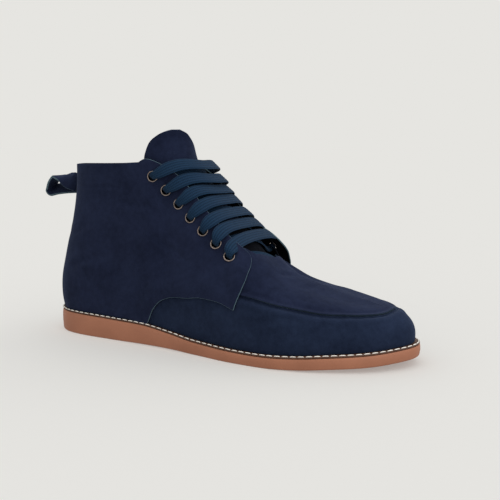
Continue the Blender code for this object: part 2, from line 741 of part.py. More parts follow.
def make_lace(group, look, seats):
    """Seven straight bars with the strands that join them behind the facings, in one body.

    The lower end crosses the tongue to the first eyelet from behind the medial facing.
    """
    points = []
    sides = []
    widths = []
    thicknesses = []

    def add(place, share, side=UP_THE_THROAT, full_width=LACE_WIDTH):
        """share is 0 where the lace is pinched in an eyelet and 1 where it lies flat."""
        points.append(place)
        sides.append(side)
        widths.append(PINCHED_WIDTH + (full_width - PINCHED_WIDTH) * share)
        thicknesses.append(PINCHED_THICKNESS + (LACE_THICKNESS - PINCHED_THICKNESS) * share)

    def lie_on_tongue(share, leave, reach, from_end):
        """Lay the ribbon on the tongue, share of the way between two spots on it."""
        rise = leave[0] + (reach[0] - leave[0]) * share
        across = leave[1] + (reach[1] - leave[1]) * share
        add(tongue_point(rise, across, -UNDER_LIFT), opened(from_end, 0.0, 0.5),
            up_the_tongue(rise, across), UNDER_WIDTH)

    first_eyelet = nearest_on_tongue(seats[LATERAL, EYELET_COUNT - 1][0])
    for k in range(UNDER_STEPS):
        lie_on_tongue(k / UNDER_STEPS, TAIL, first_eyelet, UNDER_STEPS - k)
    for number in reversed(range(EYELET_COUNT)):
        start, start_out = seats[LATERAL, number]
        end, end_out = seats[MEDIAL, number]
        for depth in EYELET_DEPTHS:
            add(start + start_out * depth, 0.0)
        bar = bar_points(start + start_out * OUTSIDE_REACH, end + end_out * OUTSIDE_REACH, BARS[number])
        for k, place in enumerate(bar):
            add(place, opened(min(k, len(bar) - 1 - k), 0.35, 0.45))
        for depth in reversed(EYELET_DEPTHS):
            add(end + end_out * depth, 0.0)
        if number == 0:
            break
        leave = nearest_on_tongue(end)
        reach = nearest_on_tongue(seats[LATERAL, number - 1][0])
        for k in range(1, UNDER_STEPS):
            lie_on_tongue(k / UNDER_STEPS, leave, reach, min(k, UNDER_STEPS - k))
    bm = bmesh.new()
    ribbon(bm, points, sides, widths, thicknesses)
    return add_object("lace", mesh_from("lace", bm), look, group)


def main():
    clear_scene()
    parts = new_collection("moc_toe_boot")
    cutters = new_collection("cutters")
    suede = material("navy_suede", (0.012, 0.017, 0.036), 0.9)
    rubber = material("gum_rubber", (0.36, 0.16, 0.10), 0.6)
    welt_leather = material("welt_leather", (0.07, 0.03, 0.018), 0.6)
    footbed = material("footbed_leather", (0.22, 0.13, 0.07), 0.7)
    braid = material("lace_braid", (0.02, 0.045, 0.085), 0.85)
    bronze = material("eyelet_bronze", (0.20, 0.16, 0.12), 0.4, 1.0)
    skin = outer_surface()
    skin.normal_update()
    seats = eyelet_seats(BVHTree.FromBMesh(skin))
    skin.free()
    make_outsole(parts, rubber)
    make_welt(parts, welt_leather)
    make_insole(parts, footbed)
    upper = make_upper(parts, suede)
    cut_eyelet_holes(upper, cutters, seats)
    make_tongue(parts, suede)
    make_pull_loop(parts, suede)
    make_lace(parts, braid, seats)
    make_eyelets(parts, bronze, seats)


main()
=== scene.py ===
# %% [markdown]
# # A lace-up moc toe boot
# This lesson dresses a plain solid model of a suede ankle boot. The solid model is a fixed frame: it
# says where sole, upper, tongue, eyelets and lace are. Each cell below builds one piece of the boot
# as its maker would cut it, or one finish, and lays it on that frame. Everything is in metres, with
# +X to the toe, +Y to the inner side of the foot and +Z up.

import math
from collections import namedtuple

import bmesh
import bpy
import numpy as np
from mathutils import Matrix, Vector, noise
from mathutils.kdtree import KDTree


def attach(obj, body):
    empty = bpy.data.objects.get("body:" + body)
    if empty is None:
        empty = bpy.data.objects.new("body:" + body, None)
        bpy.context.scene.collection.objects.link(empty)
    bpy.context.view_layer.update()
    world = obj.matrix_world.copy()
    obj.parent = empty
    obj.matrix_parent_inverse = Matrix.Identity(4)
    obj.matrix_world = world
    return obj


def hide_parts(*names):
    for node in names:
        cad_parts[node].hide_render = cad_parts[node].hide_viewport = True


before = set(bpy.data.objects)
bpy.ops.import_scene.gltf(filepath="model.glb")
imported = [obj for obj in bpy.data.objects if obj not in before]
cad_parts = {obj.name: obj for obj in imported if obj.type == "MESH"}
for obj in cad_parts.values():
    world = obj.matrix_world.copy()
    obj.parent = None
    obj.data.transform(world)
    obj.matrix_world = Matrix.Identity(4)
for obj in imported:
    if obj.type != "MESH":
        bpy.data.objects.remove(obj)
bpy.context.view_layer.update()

# %% [markdown]
# The camera stands low in front of the outer side and looks slightly down, as for a catalogue
# picture. A lens of about 60 mm keeps the proportions of the boot natural.

# %% Camera
CAMERA_PLACE = (0.426, -0.545, 0.1585)
CAMERA_TURN = math.radians(28.0)
CAMERA_DIP = math.radians(7.97)

camera_data = bpy.data.cameras.new("camera")
camera_data.lens = 61.2
camera_data.sensor_width = 36.0
camera_data.clip_start = 0.01
camera = bpy.data.objects.new("camera", camera_data)
camera.location = CAMERA_PLACE
camera.rotation_euler = (math.radians(90.0) - CAMERA_DIP, 0.0, CAMERA_TURN)
scene = bpy.context.scene
scene.collection.objects.link(camera)
scene.camera = camera
scene.view_settings.view_transform = "Standard"
print("camera to heel:", round(Vector(CAMERA_PLACE).length, 3), "m")

# %% [markdown]
# A pale paper sweep is easiest to copy with a uniform sky of the paper's own colour and a floor
# that gives back part of that colour by itself. The floor then melts into the sky, and only the
# boot's own soft shadow shows on it.

# %% Sky, floor and soft lights
PAPER = (0.791, 0.783, 0.753)
PAPER_GLOW = 0.35

world = bpy.data.worlds.new("paper_sky")
world.use_nodes = True
world.node_tree.nodes["Background"].inputs["Color"].default_value = (*PAPER, 1.0)
scene.world = world

paper = bpy.data.materials.new("paper_floor")
paper.use_nodes = True
paper_shader = paper.node_tree.nodes["Principled BSDF"]
paper_shader.inputs["Base Color"].default_value = (*[1.0 - PAPER_GLOW] * 3, 1.0)
paper_shader.inputs["Roughness"].default_value = 1.0
paper_shader.inputs["Specular IOR Level"].default_value = 0.0
paper_shader.inputs["Emission Color"].default_value = (*PAPER, 1.0)
paper_shader.inputs["Emission Strength"].default_value = PAPER_GLOW

floor_mesh = bpy.data.meshes.new("floor")
floor_sheet = bmesh.new()
bmesh.ops.create_grid(floor_sheet, x_segments=1, y_segments=1, size=6.0)
floor_sheet.to_mesh(floor_mesh)
floor_sheet.free()
floor_mesh.materials.append(paper)
floor = bpy.data.objects.new("floor", floor_mesh)
scene.collection.objects.link(floor)


def softbox(name, place, aim, size, watts):
    """Square lamp that looks from its place at a point on the boot, and lights only the boot."""
    lamp_data = bpy.data.lights.new(name, "AREA")
    lamp_data.size = size
    lamp_data.energy = watts
    lamp = bpy.data.objects.new(name, lamp_data)
    lamp.location = place
    lamp.rotation_euler = (Vector(aim) - Vector(place)).to_track_quat("-Z", "Y").to_euler()
    scene.collection.objects.link(lamp)
    return lamp


lamps = [
    softbox("top_box", (0.10, 0.10, 1.30), (0.12, 0.0, 0.05), 1.2, 9.0),
    softbox("front_box", (1.05, -0.35, 0.65), (0.12, 0.0, 0.06), 0.9, 6.0),
]
print("lamps:", [lamp.name for lamp in lamps])

# %% [markdown]
# A shoe upper takes its form from the last it was pulled over. A last is described well by a few
# cross-sections: how wide the sole is there, how high the wall stands and how it leans. The tables
# hold those sections in ratios of four driving sizes, so the whole boot can be rescaled by them.

# %% The last in tables
SOLE_LENGTH = 0.296
BALL_WIDTH = 0.1035
COLLAR_HEIGHT = 0.133
INSTEP_HEIGHT = 0.070
HEEL_REACH = 0.033
HEEL_HEIGHT = 0.0165
FOREFOOT_THICKNESS = 0.0072
ARCH_LIFT = 0.0005
TOE_SPRING = 0.006
WELT_THICKNESS = 0.0012
GAP = 0.0003
MEDIAL_DROP = 0.0008
LATERAL, MEDIAL = -1, 1

Outline = namedtuple("Outline", "along lateral medial")
OUTLINE = [
    Outline(0.000, 0.000, 0.000),
    Outline(0.030, 0.198, 0.198),
    Outline(0.070, 0.271, 0.271),
    Outline(0.130, 0.309, 0.309),
    Outline(0.250, 0.333, 0.309),
    Outline(0.380, 0.362, 0.295),
    Outline(0.500, 0.420, 0.348),
    Outline(0.610, 0.478, 0.449),
    Outline(0.700, 0.493, 0.502),
    Outline(0.780, 0.459, 0.507),
    Outline(0.860, 0.377, 0.449),
    Outline(0.930, 0.256, 0.357),
    Outline(0.975, 0.116, 0.242),
    Outline(1.000, -0.058, 0.058),
]

Profile = namedtuple("Profile", "along arch spring wedge")
PROFILE = [
    Profile(0.000, 0.00, 0.00, 1.00),
    Profile(0.150, 0.00, 0.00, 0.97),
    Profile(0.240, 0.20, 0.00, 0.90),
    Profile(0.330, 1.00, 0.00, 0.77),
    Profile(0.415, 1.00, 0.00, 0.44),
    Profile(0.490, 0.20, 0.00, 0.20),
    Profile(0.565, 0.00, 0.00, 0.10),
    Profile(0.665, 0.00, 0.00, 0.03),
    Profile(0.755, 0.00, 0.09, 0.05),
    Profile(0.840, 0.00, 0.36, 0.08),
    Profile(0.920, 0.00, 0.59, 0.09),
    Profile(1.000, 0.00, 1.00, 0.10),
]

Wall = namedtuple("Wall", "along top_x top_y top_z low_out low_up high_out high_down ledge")
WALLS = [
    Wall(0.000, 0.0625, 0.000, 1.000, 0.082, 0.256, -0.014, 0.361, 0.0200),
    Wall(0.030, 0.0794, 0.150, 1.000, 0.077, 0.256, -0.014, 0.361, 0.0200),
    Wall(0.105, 0.1216, 0.251, 1.002, 0.058, 0.256, -0.019, 0.361, 0.0200),
    Wall(0.195, 0.1926, 0.295, 1.010, 0.048, 0.271, -0.029, 0.346, 0.0200),
    Wall(0.285, 0.2669, 0.300, 1.015, 0.043, 0.286, -0.019, 0.331, 0.0220),
    Wall(0.322, 0.3066, 0.294, 1.018, 0.043, 0.286, -0.008, 0.323, 0.0238),
    Wall(0.345, 0.3311, 0.288, 1.041, 0.043, 0.286, 0.000, 0.316, 0.0250),
    Wall(0.410, 0.4054, 0.232, 0.966, 0.043, 0.286, 0.039, 0.256, 0.0280),
    Wall(0.515, 0.5169, 0.246, 0.733, 0.043, 0.256, 0.106, 0.135, 0.0310),
    Wall(0.625, 0.6250, 0.265, 0.535, 0.039, 0.256, 0.145, 0.053, 0.0340),
    Wall(0.700, 0.6892, 0.213, 0.426, 0.034, 0.233, 0.164, 0.030, 0.0370),
    Wall(0.780, 0.7568, 0.164, 0.366, 0.029, 0.207, 0.174, 0.020, 0.0385),
    Wall(0.860, 0.8243, 0.121, 0.326, 0.024, 0.173, 0.155, 0.015, 0.0385),
    Wall(0.930, 0.8750, 0.072, 0.304, 0.024, 0.141, 0.126, 0.012, 0.0385),
    Wall(0.975, 0.9054, 0.000, 0.293, 0.024, 0.126, 0.106, 0.012, 0.0385),
    Wall(1.000, 0.9223, -0.063, 0.286, 0.024, 0.119, 0.097, 0.012, 0.0385),
]
THROAT_ROW = 9

Ridge = namedtuple("Ridge", "x y z")
RIDGES = [
    Ridge(0.6351, 0.000, 1.000),
    Ridge(0.6858, 0.010, 0.843),
    Ridge(0.7399, 0.029, 0.750),
    Ridge(0.7905, 0.043, 0.680),
    Ridge(0.8311, 0.053, 0.633),
    Ridge(0.8581, 0.058, 0.607),
    Ridge(0.8750, 0.063, 0.592),
]
print("sections:", len(OUTLINE), "outline,", len(WALLS), "wall,", len(RIDGES), "ridge")

# %% [markdown]
# Between two sections the last is a smooth curve, never a bent line. This curve passes through every
# row of a table and never overshoots, so a straight stretch in the table stays straight on the boot.

# %% Curves through the tables
def station(along):
    """Even steps of this value crowd together at heel and toe, where the outline turns."""
    return math.acos(1.0 - 2.0 * along) / math.pi


def along_at(key):
    return (1.0 - math.cos(math.pi * key)) / 2.0


def smooth(keys, values, key, level_start=False, level_end=False):
    """A curve through the rows that never overshoots between two of them."""
    last = len(keys) - 1
    steps = [keys[i + 1] - keys[i] for i in range(last)]
    rises = [(values[i + 1] - values[i]) / steps[i] for i in range(last)]
    i = 0
    while i < last - 1 and key > keys[i + 1]:
        i += 1

    def slope(k):
        if k == 0:
            return 0.0 if level_start else rises[0]
        if k == last:
            return 0.0 if level_end else rises[-1]
        if rises[k - 1] * rises[k] <= 0.0:
            return 0.0
        before = 2.0 * steps[k] + steps[k - 1]
        after = steps[k] + 2.0 * steps[k - 1]
        return (before + after) / (before / rises[k - 1] + after / rises[k])

    t = (key - keys[i]) / steps[i]
    blend = t * t * (3.0 - 2.0 * t)
    start_pull = t * (1.0 - t) ** 2 * steps[i] * slope(i)
    end_pull = -t * t * (1.0 - t) * steps[i] * slope(i + 1)
    return values[i] + (values[i + 1] - values[i]) * blend + start_pull + end_pull


def column(rows, name):
    return [getattr(row, name) for row in rows]


OUTLINE_KEYS = [station(row.along) for row in OUTLINE]
WALL_KEYS = [station(row.along) for row in WALLS]
RIDGE_KEYS = WALL_KEYS[THROAT_ROW:]
THROAT = WALL_KEYS[THROAT_ROW]
print("the throat ends at key", round(THROAT, 4))

# %% [markdown]
# The sole is drawn first on a real boot too: its outline from above, then its side with heel, arch
# and toe spring. Every later piece stands on it.

# %% Sole outline and side profile
REACH_FOR_SLOPE = 1e-3      # share of the way on each side of a spot, to find the slope there


def outline_point(key, side):
    """Point of the outsole's edge seen from above."""
    name = "medial" if side == MEDIAL else "lateral"
    half = smooth(OUTLINE_KEYS, column(OUTLINE, name), key) * BALL_WIDTH
    return Vector((along_at(key) * SOLE_LENGTH - HEEL_REACH, side * half, 0.0))


def outward(key, side):
    """Unit vector in plan that points out of the outline."""
    if key <= 0.0:
        return Vector((-1.0, 0.0, 0.0))
    if key >= 1.0:
        return Vector((1.0, 0.0, 0.0))
    before, after = max(key - REACH_FOR_SLOPE, 0.0), min(key + REACH_FOR_SLOPE, 1.0)
    run = (outline_point(after, side) - outline_point(before, side)).normalized()
    return Vector((-run.y, run.x, 0.0)) * side


def profile_value(name, x):
    along = min(max((x + HEEL_REACH) / SOLE_LENGTH, 0.0), 1.0)
    return smooth(column(PROFILE, "along"), column(PROFILE, name), along)


def sole_bottom(x):
    return ARCH_LIFT * profile_value("arch", x) + TOE_SPRING * profile_value("spring", x)


def sole_top(x):
    wedge = profile_value("wedge", x)
    return sole_bottom(x) + FOREFOOT_THICKNESS + (HEEL_HEIGHT - FOREFOOT_THICKNESS) * wedge


WELT_TOP = GAP + WELT_THICKNESS
FEATHER_LIFT = WELT_TOP + GAP
print("heel", round(1000 * sole_top(0.0), 1), "mm, ball", round(1000 * sole_top(0.17), 1), "mm high")

# %% [markdown]
# The surface of the last is asked for hundreds of thousands of points. So the handles of its
# section curves are worked out once at many stations and kept, and a point is read from between
# two stations. Rise 0 to 1 climbs the wall, and 1 to 2 crosses the vamp to its ridge.

# %% The last as a surface
CROWN_PULL = 0.36           # length of the crown's handles, as a share of the way to the ridge
STATIONS = 600


def wall_value(name, key):
    return smooth(WALL_KEYS, column(WALLS, name), key, True, True)


def ridge_value(name, key):
    return smooth(RIDGE_KEYS, column(RIDGES, name), key)


def ridge_point(key):
    return Vector((ridge_value("x", key) * SOLE_LENGTH - HEEL_REACH, ridge_value("y", key) * BALL_WIDTH,
                   ridge_value("z", key) * INSTEP_HEIGHT))


def ridge_slope(key):
    run = ridge_point(min(key + REACH_FOR_SLOPE, 1.0)) - ridge_point(max(key - REACH_FOR_SLOPE, THROAT))
    return run.z / run.x


def section_handles(key, side):
    """Handles of one section: feather edge, two handles, top, two handles of the crown, ridge."""
    out = outward(key, side)
    feather = outline_point(key, side) - out * wall_value("ledge", key) * BALL_WIDTH
    feather.z = sole_top(feather.x) + FEATHER_LIFT
    half = smooth(WALL_KEYS, column(WALLS, "top_y"), key) * BALL_WIDTH
    crown_key = max(key, THROAT)
    if key > THROAT and side == MEDIAL:
        half += 2.0 * ridge_value("y", key) * BALL_WIDTH
    top = Vector((wall_value("top_x", key) * SOLE_LENGTH - HEEL_REACH, side * half,
                  wall_value("top_z", key) * COLLAR_HEIGHT))
    if side == MEDIAL and key < THROAT:
        top.z -= MEDIAL_DROP * math.sin(math.pi * key / THROAT)
    low = feather + out * wall_value("low_out", key) * BALL_WIDTH
    low.z += wall_value("low_up", key) * COLLAR_HEIGHT
    high = top + out * wall_value("high_out", key) * BALL_WIDTH
    high.z -= wall_value("high_down", key) * COLLAR_HEIGHT
    ridge = ridge_point(crown_key)
    across = Vector((top.x - ridge.x, top.y - ridge.y, 0.0))
    leave = top + (top - high).normalized() * across.length * CROWN_PULL
    arrive = ridge + across * CROWN_PULL
    arrive.z += ridge_slope(crown_key) * across.x * CROWN_PULL
    return [feather, low, high, top, leave, arrive, ridge]


handles = {side: np.array([[tuple(p) for p in section_handles(i / STATIONS, side)]
                           for i in range(STATIONS + 1)]) for side in (LATERAL, MEDIAL)}


def last_points(keys, rises, side):
    """Points on the last for arrays of keys and rises on one side."""
    keys, rises = np.broadcast_arrays(np.asarray(keys, float), np.asarray(rises, float))
    place = np.clip(keys, 0.0, 1.0) * STATIONS
    row = np.minimum(place.astype(int), STATIONS - 1)
    share = (place - row)[..., None, None]
    found = handles[side][row] * (1.0 - share) + handles[side][row + 1] * share
    on_wall = rises <= 1.0
    four = np.where(on_wall[..., None, None], found[..., 0:4, :], found[..., 3:7, :])
    t = np.where(on_wall, rises, rises - 1.0)[..., None]
    s = 1.0 - t
    return (four[..., 0, :] * s ** 3 + four[..., 1, :] * 3.0 * s * s * t
            + four[..., 2, :] * 3.0 * s * t * t + four[..., 3, :] * t ** 3)


# The inner side falls away by this much in front of the throat, from this rise up and as far as this key
SHOULDER_DROP = 0.012
SHOULDER_LOW = 0.55
SHOULDER_END = 0.72


def ease(value, start, end):
    """0 before start, 1 after end, and a soft step between."""
    share = np.clip((value - start) / (end - start), 0.0, 1.0)
    return share * share * (3.0 - 2.0 * share)


def vamp_points(keys, rises, side, full_from=0.0, fade_in=0.0):
    """Points on the last, with the inner shoulder that falls away in front of the throat."""
    keys, rises = np.broadcast_arrays(np.asarray(keys, float), np.asarray(rises, float))
    points = last_points(keys, rises, side)
    if side == MEDIAL:
        climb_share = np.where(rises <= 1.0, ease(rises, SHOULDER_LOW, 1.0), 1.0 - ease(rises, 1.0, 2.0))
        run_out = 1.0 - ease(keys, THROAT, SHOULDER_END)
        run_in = ease(keys, full_from - fade_in, full_from) if fade_in else 1.0
        points[..., 2] -= SHOULDER_DROP * climb_share * run_out * run_in
    return points


toe_cap = last_points(1.0, 2.0, LATERAL)
print("ridge ends at, mm:", [round(1000 * v, 1) for v in toe_cap])

# %% [markdown]
# Every finish on the boot is a small network of nodes. Noise fixed to the boot is stretched to a
# useful range, serves as the share between two tones of a colour, and raises a fine grain.

# %% Tools for materials
def new_look(name, roughness, specular=0.3):
    """New material with its shader and tree."""
    look = bpy.data.materials.new(name)
    look.use_nodes = True
    shader = look.node_tree.nodes["Principled BSDF"]
    shader.inputs["Roughness"].default_value = roughness
    shader.inputs["Specular IOR Level"].default_value = specular
    return look, shader, look.node_tree


def noise_at(tree, per_metre, detail, roughness):
    """Noise fixed to the boot, with this many blobs to the metre."""
    place = tree.nodes.new("ShaderNodeTexCoord")
    made = tree.nodes.new("ShaderNodeTexNoise")
    made.inputs["Scale"].default_value = per_metre
    made.inputs["Detail"].default_value = detail
    made.inputs["Roughness"].default_value = roughness
    tree.links.new(place.outputs["Object"], made.inputs["Vector"])
    return made.outputs["Fac"]


def spread(tree, value, low, high):
    """Stretch the range from low to high over 0 to 1, and cut off what lies outside."""
    made = tree.nodes.new("ShaderNodeMapRange")
    made.inputs["From Min"].default_value = low
    made.inputs["From Max"].default_value = high
    tree.links.new(value, made.inputs["Value"])
    return made.outputs["Result"]


def blend_colours(tree, share, first, second):
    """Mix of two colours, each a tuple or the output of another mix."""
    made = tree.nodes.new("ShaderNodeMix")
    made.data_type = "RGBA"
    tree.links.new(share, made.inputs["Factor"])
    for socket, colour in ((made.inputs[6], first), (made.inputs[7], second)):
        if isinstance(colour, tuple):
            socket.default_value = (*colour, 1.0)
        else:
            tree.links.new(colour, socket)
    return made.outputs[2]


def sum_of(tree, parts):
    """Sum of values, each with its weight."""
    total = None
    for value, weight in parts:
        made = tree.nodes.new("ShaderNodeMath")
        made.operation = "MULTIPLY_ADD"
        made.inputs[1].default_value = weight
        made.inputs[2].default_value = 0.0
        tree.links.new(value, made.inputs[0])
        if total is not None:
            tree.links.new(total, made.inputs[2])
        total = made.outputs[0]
    return total


def bump(tree, shader, height, strength, distance):
    made = tree.nodes.new("ShaderNodeBump")
    made.inputs["Strength"].default_value = strength
    made.inputs["Distance"].default_value = distance
    tree.links.new(height, made.inputs["Height"])
    tree.links.new(made.outputs["Normal"], shader.inputs["Normal"])


def mottled(name, roughness, specular, per_metre, detail, reach, dark, light):
    """Material whose colour wanders between two tones with fine noise."""
    look, shader, tree = new_look(name, roughness, specular)
    share = spread(tree, noise_at(tree, per_metre, detail, 0.6), 0.5 - reach, 0.5 + reach)
    tree.links.new(blend_colours(tree, share, dark, light), shader.inputs["Base Color"])
    return look, shader


print("material tools ready")

# %% [markdown]
# Suede is the flesh side of the hide, brushed until a short nap stands up. It has almost no shine of
# its own: the nap scatters light, it looks lighter where it is seen at a low angle, and it is blotchy
# where fingers have laid it down. Three sizes of noise copy that: hand-sized patches, small mottling
# and the nap itself. One recipe makes every suede here, and only its two tones and its sheen differ.
# Where the hide is cut the edges are paler: partly their own tone, as the dye has only reached the
# outside, and partly a painted highlight of the raw edge catching the light. The plug's edge is painted
# darker, as shade in its seam.

# %% Suede finishes
NAP_STRENGTH = 0.5
NAP_HEIGHT = 0.0004


def suede(name, dark, light, sheen):
    look, shader, tree = new_look(name, 0.95, 0.05)
    patches = noise_at(tree, 34.0, 3.0, 0.6)
    mottle = noise_at(tree, 260.0, 3.0, 0.6)
    fibres = noise_at(tree, 1900.0, 2.0, 0.7)
    tone = sum_of(tree, [(patches, 0.5), (mottle, 0.3), (fibres, 0.2)])
    share = spread(tree, tone, 0.38, 0.62)
    tree.links.new(blend_colours(tree, share, dark, light), shader.inputs["Base Color"])
    shader.inputs["Sheen Weight"].default_value = sheen
    shader.inputs["Sheen Roughness"].default_value = 0.45
    shader.inputs["Sheen Tint"].default_value = (0.45, 0.6, 1.0, 1.0)
    bump(tree, shader, sum_of(tree, [(fibres, 1.0), (mottle, 0.8)]), NAP_STRENGTH, NAP_HEIGHT)
    return look


navy = suede("navy_suede", (0.0064, 0.0091, 0.0233), (0.0121, 0.0169, 0.0404), 0.07)
# the walls wear a copy of the navy suede painted a little lighter and bluer: painted light for how the
# light falls on the walls
navy_painted_lighter_for_walls = suede("navy_suede_painted_lighter_for_walls", (0.0068, 0.0110, 0.0258), (0.0129, 0.0205, 0.0448), 0.07)
# cut edges: their own paler tone, brightened as a painted highlight of the raw edge catching the light
cut_edge_with_highlight = suede("cut_suede_edge_painted_highlight", (0.050, 0.085, 0.105), (0.100, 0.150, 0.175), 0.10)
# the plug's cut edge: the same paler tone, darkened as painted shade along the moc seam
plug_edge_with_shade = suede("cut_plug_edge_painted_shade", (0.013, 0.022, 0.036), (0.025, 0.040, 0.060), 0.08)
# the lining is dark leather made near black: partly its own tone, partly painted shade for the deep shadow
# inside the boot
lining_and_shade_look = suede("lining_leather_darkened_as_shade", (0.0022, 0.0026, 0.0042), (0.0045, 0.0052, 0.0078), 0.01)
print("finishes:", [look.name for look in (navy, navy_painted_lighter_for_walls, cut_edge_with_highlight, plug_edge_with_shade, lining_and_shade_look)])

# %% [markdown]
# Every piece of the upper is cut flat, skived thin at the edge and pulled over the last. Here a piece
# starts as a sheet of points on the last. Seams, folds and small hand-made unevenness lift the points
# along the normal. Only then does the sheet get its thickness and softened cut edges.

# %% Tools for leather pieces
boot = bpy.data.collections.new("boot")
scene.collection.children.link(boot)
for lamp in lamps:
    lamp.light_linking.receiver_collection = boot


def finish_piece(piece, nodes):
    """Every piece rides on the boot's one body, and takes the place of the plain solids named."""
    boot.objects.link(piece)
    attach(piece, "root")
    if nodes:
        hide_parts(*nodes)
    triangles = sum(len(face.vertices) - 2 for face in piece.data.polygons)
    print(piece.name + ":", triangles, "triangles")


def finish_mesh(name, mesh, looks, nodes, sharp=None):
    """Finish a mesh that already lies in its place; edges bent more than sharp stay hard."""
    for look in looks:
        mesh.materials.append(look)
    mesh.shade_smooth()
    if sharp is not None:
        mesh.set_sharp_from_angle(angle=sharp)
    finish_piece(bpy.data.objects.new(name, mesh), nodes)


def plain_sheet(grid, side):
    """Sheet of points that carries no facts about them."""
    return grid, np.zeros(grid.shape[:2] + (1,)), side


def weld(sheets):
    """One set of points, facts and faces from sheets that share their borders."""
    points = np.concatenate([grid.reshape(-1, 3) for grid, _, _ in sheets])
    facts = np.concatenate([told.reshape(-1, told.shape[-1]) for _, told, _ in sheets])
    _, first, named = np.unique(np.round(points * 1e6).astype(int), axis=0,
                                return_index=True, return_inverse=True)
    named = named.reshape(-1)
    faces = []
    start = 0
    for grid, _, side in sheets:
        rows, columns = grid.shape[:2]
        for j in range(rows - 1):
            for i in range(columns - 1):
                at = start + j * columns + i
                loop = [at, at + 1, at + columns + 1, at + columns]
                loop = list(dict.fromkeys(int(named[corner]) for corner in loop))
                if len(loop) > 2:
                    faces.append(loop if side == LATERAL else loop[::-1])
        start += rows * columns
    return points[first], facts[first], faces


def apply_modifiers(piece):
    """Replace the piece's mesh by what its modifiers make of it."""
    graph = bpy.context.evaluated_depsgraph_get()
    made = bpy.data.meshes.new_from_object(piece.evaluated_get(graph))
    piece.modifiers.clear()
    old, piece.data = piece.data, made
    made.name = piece.name
    bpy.data.meshes.remove(old)


print("tools for pieces ready")

# %% [markdown]
# A sheet becomes leather when it has thickness. Solidify gives it, a narrow bevel rounds the cut
# edges, and holes are punched last. The looks are given as skin, inside and cut edge.

# %% Thickness and cut edges
CUT_ANGLE = math.radians(55.0)
SOFT_ANGLE = math.radians(50)
PARED_REACH = 0.005         # a pared spot is thin this far out, and has its full thickness twice as far
PARED_SHARE = 0.05


def pare(piece, points, spot, thick):
    """Thin the leather round a spot where the sheet's columns run together in one point."""
    away = np.linalg.norm(points - np.array(spot), axis=1)
    share = 1.0 - ease(away, PARED_REACH, 2.0 * PARED_REACH)
    pared = piece.vertex_groups.new(name="pared")
    for index in np.flatnonzero(share):
        pared.add([int(index)], float(share[index]), "REPLACE")
    thick.vertex_group = pared.name
    thick.invert_vertex_group = True
    thick.thickness_vertex_group = PARED_SHARE


def leather(name, sheets, relief, thickness, looks, edge_round=0.0003, drill=None, inside=0, thin_at=None):
    """Piece of leather: welded sheets, moved out by relief(points, facts), thickened inward."""
    points, facts, faces = weld(sheets)
    mesh = bpy.data.meshes.new(name)
    mesh.from_pydata(points.tolist(), [], faces)
    normals = np.empty(len(points) * 3)
    mesh.vertices.foreach_get("normal", normals)
    moved = points + normals.reshape(-1, 3) * relief(points, facts)[:, None]
    mesh.vertices.foreach_set("co", moved.ravel())
    mesh.update()
    for look in looks:
        mesh.materials.append(look)
    piece = bpy.data.objects.new(name, mesh)
    scene.collection.objects.link(piece)
    thick = piece.modifiers.new("thickness", "SOLIDIFY")
    thick.thickness = thickness
    thick.offset = -1.0
    thick.use_quality_normals = True
    thick.material_offset = inside
    thick.material_offset_rim = len(looks) - 1
    if thin_at is not None:
        pare(piece, moved, thin_at, thick)
    soft = piece.modifiers.new("soft_edge", "BEVEL")
    soft.width = edge_round
    soft.segments = 2
    soft.limit_method = "ANGLE"
    soft.angle_limit = CUT_ANGLE
    soft.material = len(looks) - 1
    if drill is not None:
        holes = piece.modifiers.new("holes", "BOOLEAN")
        holes.operation = "DIFFERENCE"
        holes.solver = "EXACT"
        holes.object = drill
    apply_modifiers(piece)
    piece.data.shade_smooth()
    piece.data.set_sharp_from_angle(angle=SOFT_ANGLE)
    scene.collection.objects.unlink(piece)
    return piece


print("leather is cut at", round(math.degrees(CUT_ANGLE)), "degrees and more")

# %% [markdown]
# The small forms of a leather piece are all heights along its normal. A bell is the soft ridge or
# trough beside a seam, and noise of a hand's size keeps any surface from looking machined.

# %% Ridges, troughs and unevenness
Swell = namedtuple("Swell", "height middle width")


def bell(value, middle, width):
    return np.exp(-((value - middle) / width) ** 2)


def swelling(away, swells):
    """Height of soft ridges and troughs at this distance from a seam, all in millimetres."""
    return sum(swell.height * bell(away, swell.middle, swell.width) for swell in swells)


def unevenness(points, size, amount, seed):
    """Soft bumps of this size, as leather has that was pulled by hand."""
    shift = Vector((seed, 2.0 * seed, 3.0 * seed))
    return amount * np.array([noise.noise(Vector(p) / size + shift) for p in points])


def distance_to(points, line):
    """Distance from each point to a line of closely set points."""
    tree = KDTree(len(line))
    for i, place in enumerate(line):
        tree.insert(place, i)
    tree.balance()
    return np.array([tree.find(place)[2] for place in points])


print("a ridge 1 mm high and wide, at 0, 1 and 2 mm:",
      [round(float(bell(away, 0.0, 1.0)), 2) for away in (0.0, 1.0, 2.0)])

# %% [markdown]
# The upper is cut from four patterns: a vamp that wraps the toe as a wall, a plug on top of it, and
# two quarters that carry the eyelets and close at the heel. Their edges are drawn on the last as
# lines of key, the station along the boot, and rise, the share of the way up the section.

